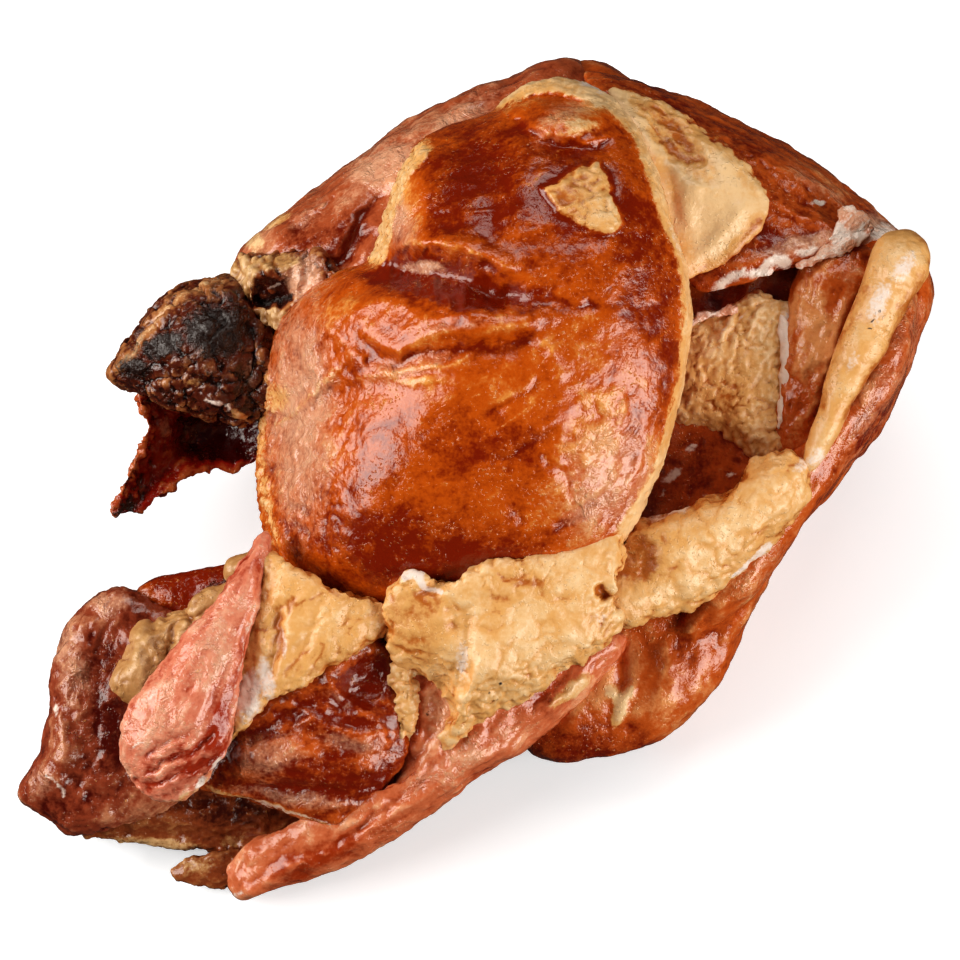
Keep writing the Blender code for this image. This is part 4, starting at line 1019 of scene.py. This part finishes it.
        tones_and_painted_light=[daub(-66, -76, 16, 4, 0, 0.1), daub(-56, -72, 12, 4, 0, -0.4)],
        fats=[daub(-62, -84.5, 6, 2.5, 10, 0.5), daub(-72, -79.5, 14, 1.6, -4, 0.6),
            daub(-54, -79, 5, 2, 20, 0.5)]),
    dict(name="finger", parts=["finger"], voxel=0.42, finish="pink", pink_and_sheen=0.12, tone=0.46, fray=0.5,
        swells=[lumpy(0.6, 12, 1), lumpy(0.25, 5, 2)],
        reliefs=[crest([(-52, -24), (-57, -35), (-63, -46), (-69, -54)], -0.6, 1.5, 2.0),
            crest([(-54, -36), (-57, -46), (-61, -55)], -0.7, 1.2, 1.5),
            crest([(-72, -63), (-67, -60), (-62, -58.5), (-57, -54)], -1.8, 1.0, 1.2),
            crest([(-71, -66), (-66, -63.5), (-61, -61.5), (-55.5, -58)], -1.6, 1.0, 1.2),
            crest([(-73, -60), (-68, -56.5), (-64, -55)], -1.3, 0.9, 1.2),
            crest([(-68, -68.5), (-63, -66), (-58, -62.5)], -1.3, 1.0, 1.2),
            crest([(-77, -58), (-75.5, -64), (-71, -68)], -0.9, 1.2, 1.2),
            crest([(-79, -62), (-74, -68), (-68, -70)], 0.8, 1.2, 1.2)],
        skins=[wrinkled(0.3, 3.6, (0.45, 1, 0), 4.0, 3),
            wrinkled(0.7, 3.4, (1, 0.6, 0), 2.6, 9, [(-66, -62, 11, 6, 25, 1.0)])],
        tones_and_painted_light=[streaks(0.3, 2.6, (0.45, 1, 0), 6.0, 31), daub(-64, -61, 10, 5, 30, -0.3),
            daub(-56, -50, 2, 9, -15, -0.35), daub(-70, -52, 6, 6, 0, 0.1), daub(-77, -63, 3, 6, 10, 0.15)],
        fats=[band([(-76, -69), (-69, -70.5), (-62.5, -68), (-57, -63.5), (-53.5, -59)], 0.8, 0.6, 1.2)],
        whites_and_highlights=[band([(-48.5, -26), (-50.5, -34), (-52.6, -43), (-53, -52)], 0.5, 0.5),
            daub(-75, -67.5, 2.4, 1.0, -30, 0.9), daub(-57, -61.5, 2.2, 1.0, 50, 0.9),
            daub(-60.5, -65.5, 1.8, 0.8, 40, 0.9), daub(-74, -57, 3, 0.7, 30, 0.5),
            daub(-71, -47, 2.5, 0.6, 50, 0.5)],
        pinks_and_sheens=[daub(-70, -50, 7, 9, 0, 0.25), daub(-56, -34, 4, 12, -25, 0.3),
            daub(-78, -62, 3, 6, 10, 0.35)]),
    dict(name="side_muscle", parts=["side_muscle"], voxel=0.45, finish="dome", tone=0.02,
        swells=[lumpy(0.6, 8, 1)], skins=[wrinkled(0.15, 3.0, (1, 0.1, 0), 2.0, 3)],
        tones_and_painted_light=[daub(-72, -25.5, 4, 3, 0, 0.35), daub(-60, -23, 8, 4, 0, -0.3)],
        pinks_and_sheens=[daub(-74.5, -25, 2.5, 2.5, 0, 0.3)], chars_and_shade=[daub(-56, -23, 6, 2, 10, 0.5)]),
    dict(name="charred_root", parts=["root", "char_block", "char_lump"], voxel=0.42, finish="root",
        tone=0.34, creases=0.5, fray=0.7, smoothing=3, swells=[lumpy(0.4, 12, 1), faceted(1.4, 11, 3)],
        reliefs=[crest([(-76, 30), (-68, 25), (-60, 22), (-54, 18)], -1.2, 1.2, 1.6),
            crest([(-66, 38), (-62, 39.5), (-54, 41)], 0.9, 1.2, 1.2), daub(-51, 20, 4, 5, 0, -1.4),
            crest([(-60, 18.5), (-55, 15.7), (-51, 12.8)], 1.0, 1.0, 1.0)],
        skins=[wrinkled(0.5, 2.6, (0.25, 1, 0), 3.6, 3, [(-64, 21, 12, 6, 0, 1.0)]), faceted(0.7, 5.5, 7),
            wrinkled(0.28, 3.0, (0.4, 1, 0), 4.5, 13)],
        tones_and_painted_light=[daub(-64, 21, 9, 4, 0, -0.1),
            band([(-79, 24), (-72, 33), (-64, 41), (-56, 42)], 1.5, 0.45, 1.2),
            daub(-52, 20, 4, 5, 0, -0.1), daub(-65, 24, 8, 4, 0, 0.15),
            streaks(0.3, 2.0, (0.25, 1, 0), 3.0, 35)],
        fats=[band([(-79, 24), (-72, 33), (-64, 41), (-56, 42.5)], 0.8, 0.5, 1.2),
            daub(-62, 21.5, 5, 1.5, 0, 0.4), daub(-53, 14.5, 2.5, 1.2, -35, 0.7)],
        # The white band below the char block is a painted highlight on a wet strip
        whites_and_highlights=[band([(-60, 18.3), (-57.5, 17.3), (-54.8, 15.5)], 0.5, 0.8), daub(-50, 25, 0.6, 2, 0, 0.5)],
        chars_and_shade=[daub(-57.3, 32.3, 7.5, 6.5, 0, 0.95), daub(-69, 29.5, 5, 3.2, 20, 0.9),
            daub(-75.5, 24.5, 4, 3, 0, 0.8), all_over(0.27, 0.3)], pinks_and_sheens=[daub(-51, 21, 2, 5, 0, 0.3)]),
    dict(name="root_skin", parts=["root_skin"], voxel=0.45, finish="torn", tone=0.45, creases=0.5, fray=1.4,
        swells=[lumpy(0.9, 9, 1)],
        reliefs=[daub(-60, 10, 9, 6, 0, -4.0), band([(-75, 18), (-74.5, 8), (-78, -4)], 1.5, 1.6, 1.5)],
        skins=[wrinkled(0.4, 3.6, (0.6, 1, 0), 2.0, 3),
            within([band([(-75, 18), (-74.5, 8), (-78, -4)], 2, 1, 1.5)], lobed(1.8, 3, 61))],
        # Painted shade: the strong dark daub at (-56, 10) blackens the hollow
        tones_and_painted_light=[band([(-75, 16), (-76, 6), (-80, -3)], 1.6, 0.35, 1.0), daub(-67.5, 8, 4, 6, 0, 0.2),
            daub(-56, 10, 10, 6, 0, -1.2), band([(-70, -3), (-60, 2), (-50, 4)], 1.0, 0.4, 1.5)],
        chars_and_shade=[daub(-78.5, -7, 3.5, 2.5, 60, 0.9), daub(-72, 17, 3, 2, 0, 0.5), all_over(0.1, 0.3)],
        pinks_and_sheens=[daub(-70, 12, 1, 2.5, 0, 0.5)]),
    dict(name="draped_fat", parts=["draped_fat"], voxel=0.48, **FAT, tone=0.78, fray=0.6, melt=0.75,
        swells=[lumpy(0.5, 11, 6)],
        reliefs=[daub(43, 73, 10, 3.5, -48, -2.6), crest([(50, 70), (46, 62), (44, 54)], 0.7, 2.5, 2.5),
            crest([(38, 78), (41, 66), (43, 54)], -0.8), crest([(58, 60), (52, 53), (46, 48)], 0.6)],
        skins=[lobed(0.12, 3.6, 61),
            wrinkled(0.9, 3.0, (0.7, -0.8, 0), 2.5, 3, [(43, 73, 12, 5, -48, 1.0)])],
        tones_and_painted_light=[streaks(0.25, 2.4, (0.7, -0.8, 0), 3.0, 35, [(43, 73, 13, 6, -48, 1.0)]),
            daub(41, 49, 6, 5, 60, -0.55), band([(62, 58), (56, 50), (48, 44)], 1.5, -0.35, 1.5),
            daub(39, 62, 2, 12, 10, -0.25), daub(43.5, 73, 10.5, 3.6, -48, -0.9),
            daub(40, 66, 6, 1.4, -60, -0.4), band([(61, 57), (54, 49), (46, 45)], 1.6, -0.5, 1.5),
            band([(33, 82), (42, 79), (52, 72), (60, 62)], 1.2, -0.4, 1.5), daub(50, 60, 7, 9, 0, 0.1)]),
    dict(name="cavity_fat", parts=["cavity_fat"], voxel=0.42, **FAT, tone=0.3, creases=0.55, fray=1.2,
        swells=[lumpy(0.6, 9, 6), lobed(1.1, 4.6, 61)],
        skins=[lobed(0.55, 2.2, 71), lumpy(0.12, 1.4, 9, 2)],
        tones_and_painted_light=[daub(50, 30, 6, 4, 40, 0.2), daub(62, 30, 3, 8, 0, 0.15), daub(52, 18, 8, 5, 0, -0.3),
            daub(47, 30, 3, 6, 0, -0.25)],
        reliefs=[crest([(55.4, 36.3), (52, 30)], 0.8, 0.8, 0.8),
            crest([(62, 38), (57, 30)], 0.7, 0.8, 0.8)],
        whites_and_highlights=[band([(66.5, 36), (68.6, 30.5), (68.9, 24), (68.2, 18), (67, 11)], 1.3, 0.95),
            daub(57, 35, 0.5, 3, -30, 0.5), daub(53.5, 33, 0.5, 3, -30, 0.5)]),
    dict(name="upper_roll", parts=["upper_roll"], voxel=0.46, **FAT, tone=0.38, melt=0.3,
        swells=[lumpy(0.6, 12, 6), lobed(0.3, 8, 61)], skins=[lobed(0.12, 4, 61)],
        reliefs=[crest([(84, 45.5), (89, 42.5), (94, 40)], -0.8, 1.2, 2.0),
            crest([(80, 35.5), (85, 33), (89, 31)], -0.6, 1.2, 2.0),
            crest([(76, 26), (80, 23.5)], -0.4, 0.9, 1.4)],
        tones_and_painted_light=[band([(99, 48), (93, 39), (88, 28), (81, 14)], 1.5, -0.4, 1.5),
            band([(84, 42), (79, 30), (74, 15)], 1.0, -0.35, 1.2), daub(97, 53, 3, 3, 0, -0.15),
            daub(83, 27, 4, 1.6, 60, -0.2), daub(78, 15, 3, 2, 60, -0.3),
            daub(85.5, 35.5, 3, 1.2, 0, -0.3)],
        # The first three white daubs are painted highlights on the roll
        whites_and_highlights=[daub(92, 46, 5.0, 2.4, 60, 0.66), daub(86.5, 38.5, 6.0, 2.8, 70, 0.66),
            daub(80.5, 25.5, 4, 1.4, 65, 0.5), daub(73, 5, 3, 2, 50, 0.6)],
        chars_and_shade=[daub(85.2, 34.8, 0.9, 0.3, 20, 0.7), daub(84.5, 33, 0.8, 0.3, -30, 0.7),
            daub(86.5, 36.3, 0.6, 0.25, 60, 0.7)]),
    dict(name="lower_band", parts=["lower_band"], voxel=0.46, **FAT, tone=0.42, fray=0.8, melt=0.4,
        swells=[lumpy(0.9, 12, 6), lobed(0.4, 9, 61)],
        skins=[within([daub(34, -18, 7, 8), daub(66, 0, 7, 6)], lobed(0.7, 3.6, 71)),
            seams(-0.2, 5.5, 65, 0.09), lobed(0.08, 3.0, 73)],
        reliefs=[daub(34, -17, 4.5, 5, -20, -1.6),
            crest([(34, -24), (44, -20), (54, -12), (64, -2)], -0.4, 2, 2),
            crest([(56, -20), (62, -10), (68, -4)], 0.5)],
        tones_and_painted_light=[seams(-0.34, 5.5, 65, 0.2), daub(34.5, -16.5, 5.5, 6, 0, -0.75),
            band([(36, -9), (46, -6), (56, -1), (62, 4)], 1.4, -0.25, 1.5), daub(50, -15, 9, 4, 40, 0.2),
            daub(66, 2, 4, 3, 0, -0.2), daub(31, -29, 4, 2, 0, -0.2)],
        whites_and_highlights=[band([(55, -21), (59, -17.5), (63, -13.5)], 0.8, 0.7),
            band([(35, -8.7), (41, -7.5), (46, -6)], 0.6, 0.6), daub(69, 3, 2.5, 1.5, 40, 0.6)]),
    dict(name="front_fat", parts=["front_fat"], voxel=0.44, **FAT, tone=0.44, fray=1.2, melt=0.35,
        swells=[lumpy(0.9, 12, 6), lobed(0.4, 9, 61)],
        skins=[
            within([daub(10, -20, 14, 4, 10), daub(4, -46, 14, 5, 35), daub(27, -28, 5, 8)],
                lobed(0.9, 3.2, 71)), seams(-0.2, 5.5, 65, 0.09), lobed(0.1, 3.0, 73)],
        reliefs=[crest([(-4, -26), (-3, -32), (-4, -44)], -1.2, 1.6, 2.2),
            crest([(-7, -27), (-5, -33)], -0.6, 0.8, 1.0),
            crest([(-16, -26), (-12, -34), (-10, -42)], -0.4, 1.4, 1.6),
            crest([(20, -16), (18, -26), (22, -34)], -0.4, 1.4, 1.6), daub(26, -24, 1.2, 1.8, 10, -3.2),
            daub(-10, -23.5, 3.2, 1.6, 10, -2.0), crest([(28.5, -15), (29, -20), (29, -25)], 1.2, 1.2, 1.2),
            crest([(-2, -51), (8, -45), (18, -39), (26, -34)], 0.7, 1.2, 1.2),
            crest([(-18, -22), (-16, -21)], 0.7, 1.0, 1.2)],
        tones_and_painted_light=[seams(-0.34, 5.5, 65, 0.2), daub(-13, -31, 6, 8, 10, -0.4),
            daub(10.5, -21.8, 4.5, 1.6, -5, -0.55), daub(26, -24, 1.4, 2.0, 10, -0.8),
            daub(4, -29, 3, 3, 0, -0.12), daub(8, -33, 10, 7, 20, 0.16), daub(-14, -38, 4, 1.6, -20, -0.3),
            daub(16, -29, 1.2, 1, 0, -0.3), daub(-18.5, -30, 1.6, 6, 0, -0.15)],
        whites_and_highlights=[band([(-17, -21), (-14, -20.8), (-11.8, -23), (-7.5, -24.6)], 0.8, 0.75),
            daub(-3.8, -39, 1.8, 5, 0, 0.62), daub(-1, -29, 0.6, 3.5, 15, 0.45),
            daub(26, -30, 3, 2, 40, 0.45)],
        chars_and_shade=[daub(2, -46, 0.5, 0.3, 20, 0.7), daub(-5.5, -49.5, 0.5, 0.3, 0, 0.7),
            daub(4.4, -44, 0.6, 0.4, 40, 0.8)]),
    dict(name="left_fat", parts=["left_fat"], voxel=0.44, **FAT, tone=0.24, fray=1.0, melt=0.35,
        swells=[lumpy(0.9, 11, 6), lobed(0.6, 8, 61)],
        skins=[lobed(0.45, 4.0, 71), seams(-0.15, 5.5, 65, 0.12)],
        reliefs=[crest([(-43, -27), (-44, -35), (-46, -44)], -1.6, 1.2, 1.4),
            crest([(-34, -24), (-36, -32), (-40, -40)], -0.7, 1.2, 1.8),
            crest([(-52, -50), (-46, -47), (-40, -45), (-34, -42)], 1.0, 1.0, 1.2),
            crest([(-28, -27), (-30, -34)], -0.5), daub(-49, -46, 4, 5, 20, -1.0)],
        tones_and_painted_light=[seams(-0.24, 5.5, 65, 0.2), daub(-43.5, -33, 1.2, 6, 8, -0.35),
            daub(-44, -49, 6, 1.6, 20, -0.25), daub(-48.5, -27, 3, 7, 0, -0.2),
            daub(-30, -38, 8, 2, 30, -0.15), daub(-36, -30, 6, 6, 0, 0.14)],
        whites_and_highlights=[daub(-46.2, -43, 2.0, 6, 10, 0.7), daub(-50, -46, 3.4, 6.5, -10, 0.85),
            daub(-42.5, -35, 0.8, 5, 5, 0.6)]),
    dict(name="side_fat", parts=["side_lobe", "side_cluster", "side_string", "side_fold", "top_fat_knot"],
        voxel=0.44, finish="olive", smoothing=3, fat=1.0, melt=0.2, tone=0.3, creases=0.5, fray=0.3,
        swells=[lumpy(0.5, 9, 6), within([daub(-64.5, -36, 6.5, 8)], lobed(2.6, 5.5, 61))],
        skins=[lobed(0.2, 4, 71), seams(-0.3, 5, 65, 0.16)],
        reliefs=[crest([(-66, -31), (-67.5, -38), (-69, -46)], -1.8, 1.0, 1.2),
            crest([(-74, -35), (-71, -41), (-72, -47)], -0.8, 1.0, 1.4),
            crest([(-76, -33), (-77, -40)], -0.7, 1.0, 1.4)],
        tones_and_painted_light=[seams(-0.2, 5, 65, 0.14), daub(-76, -46, 5, 3, -30, -0.1),
            daub(-70, -40, 1.5, 8, 10, -0.3)]),
    dict(name="neck_fat", parts=["neck_fat"], voxel=0.44, finish="olive", smoothing=3, fat=0.2, tone=0.12,
        creases=0.8, fray=0.9, swells=[lumpy(0.9, 8, 6), lobed(1.6, 5.5, 61)], skins=[lobed(0.6, 2.6, 71)],
        reliefs=[daub(-45.5, 41.5, 5, 3.0, 12, -4.0),
            crest([(-50.5, 39.4), (-46, 38.6), (-41, 40.6)], -3.0, 1.4, 0.9),
            crest([(-40, 38), (-38, 44), (-38, 50)], -0.9, 1.2, 1.4)],
        # Painted shade: the dark tone daub at (-46, 42) and the char band along the slot darken the hollow; the
        # first white daub is a painted glint
        tones_and_painted_light=[daub(-46, 42, 4.5, 3.0, 12, -0.5), daub(-38, 43, 5, 7, 0, 0.4),
            daub(-51.5, 46, 3, 4, 0, 0.35), daub(-46, 34.5, 5, 3, 0, 0.2)],
        fats=[daub(-52, 44, 3.5, 6, 0, 0.9), daub(-46, 47.5, 8, 2.5, 5, 0.8),
            daub(-46, 34.5, 7, 3.4, 0, 0.9), daub(-35, 38, 5, 4, 20, 0.8)],
        chars_and_shade=[band([(-50.5, 39.6), (-46, 38.9), (-41, 40.8)], 0.6, 0.8, 0.8)],
        whites_and_highlights=[daub(-44.6, 42.5, 1.6, 0.6, 40, 0.6), daub(-39, 45, 2.5, 2, 30, 0.45)],
        pinks_and_sheens=[daub(-38.5, 44, 4.5, 5, 0, 0.8)]),
    dict(name="torn_skin", parts=["membrane", "shred_right", "shred_middle", "shred_left"], voxel=0.34,
        finish="pink", smoothing=2, tone=0.55, fray=1.2, creases=0.3, swells=[lumpy(0.3, 3, 6)],
        whites_and_highlights=[all_over(0.45, 0.5), streaks(0.9, 1.2, (1, 0.7, 0), 5.0, 35)], pink_and_sheen=0.6,
        skins=[wrinkled(0.35, 2, (1, 0.5, 0), 1.5, 3)]),
    dict(name="white_strip", parts=["white_strip"], voxel=0.36, finish="fat", smoothing=2, fat=1.0,
        tone=0.8, fray=0.7, creases=0.2, swells=[lumpy(0.3, 4, 6)], whites_and_highlights=[all_over(0.75)]),
    dict(name="shank_strip", parts=["shank_strip"], voxel=0.38, finish="fat", smoothing=2, fat=1.0,
        tone=0.32, fray=1.6, swells=[lobed(1.6, 3.6, 61)], skins=[lobed(0.3, 1.6, 71)]),
]


def make_finishes():
    return {name: flesh(f"{name}_meat", *colours) for name, colours in MEATS.items()}


def make_pieces():
    finishes = make_finishes()
    for piece in [dress(finishes, **piece) for piece in PIECES]:
        bpy.context.scene.collection.objects.link(piece)
        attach(piece, BODY)
        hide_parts(NODE)


# ---------------------------------------------------------------- the studio


def make_floor():
    bpy.ops.object.select_all(action="DESELECT")
    bpy.ops.mesh.primitive_plane_add(size=FLOOR_SIZE)
    floor = bpy.context.object
    floor.name = "floor"
    paint = Paint("pale_floor")
    speckle = paint.noise(30, 2)
    white = paint.mix(speckle, (0.84, 0.88, 0.93), (0.88, 0.92, 0.97))
    floor.data.materials.append(paint.finish(white, 0.8, speckle, 0.01, Specular_IOR_Level=0.1,
                                             Emission_Color=(1, 1, 1), Emission_Strength=FLOOR_GLOW))
    floor.visible_glossy = floor.visible_diffuse = False


def face_place(x, y, z):
    """A place in the show face's millimetres, in metres of the row."""
    middle = Vector(FACE_MIDDLE) - Vector((0, 0, FLAT_SPOT))
    return (LEAN @ Vector((x, y, z)) + middle) * MM


def aim(obj, place, target):
    obj.location = place
    obj.rotation_euler = (place - target).to_track_quat("Z", "Y").to_euler()


def make_softbox(name, place, width, height, power):
    light = bpy.data.lights.new(name, "AREA")
    light.color = SOFTBOX_COLOUR
    light.shape, light.size, light.size_y, light.energy = "RECTANGLE", width, height, power
    softbox = bpy.data.objects.new(name, light)
    bpy.context.scene.collection.objects.link(softbox)
    aim(softbox, face_place(*place), face_place(0, 0, 0))


def make_studio():
    make_floor()
    scene = bpy.context.scene
    scene.view_settings.view_transform = "Standard"
    scene.view_settings.look = "Medium High Contrast"
    scene.world = bpy.data.worlds.new("studio")
    scene.world.use_nodes = True
    background = scene.world.node_tree.nodes["Background"]
    background.inputs["Color"].default_value = (1, 1, 1, 1)
    background.inputs["Strength"].default_value = ROOM_LIGHT
    make_softbox("left_softbox", (-660, 80, 340), 0.62, 0.62, 6.6)
    make_softbox("right_softbox", (620, -280, 380), 0.55, 0.55, 5.8)
    make_softbox("top_softbox", (120, 640, 420), 0.5, 0.4, 1.9)


def make_camera():
    camera = bpy.data.objects.new("camera", bpy.data.cameras.new("camera"))
    camera.data.lens, camera.data.sensor_width = LENS, SENSOR
    distance = SHOWN * LENS / SENSOR / MM
    camera.data.clip_end = 20
    bpy.context.scene.collection.objects.link(camera)
    bpy.context.scene.camera = camera
    camera.matrix_world = Matrix.Translation(face_place(0, 0, distance - CAMERA_NEARER)) @ LEAN


def main():
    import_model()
    make_camera()
    make_studio()
    make_pieces()


main()
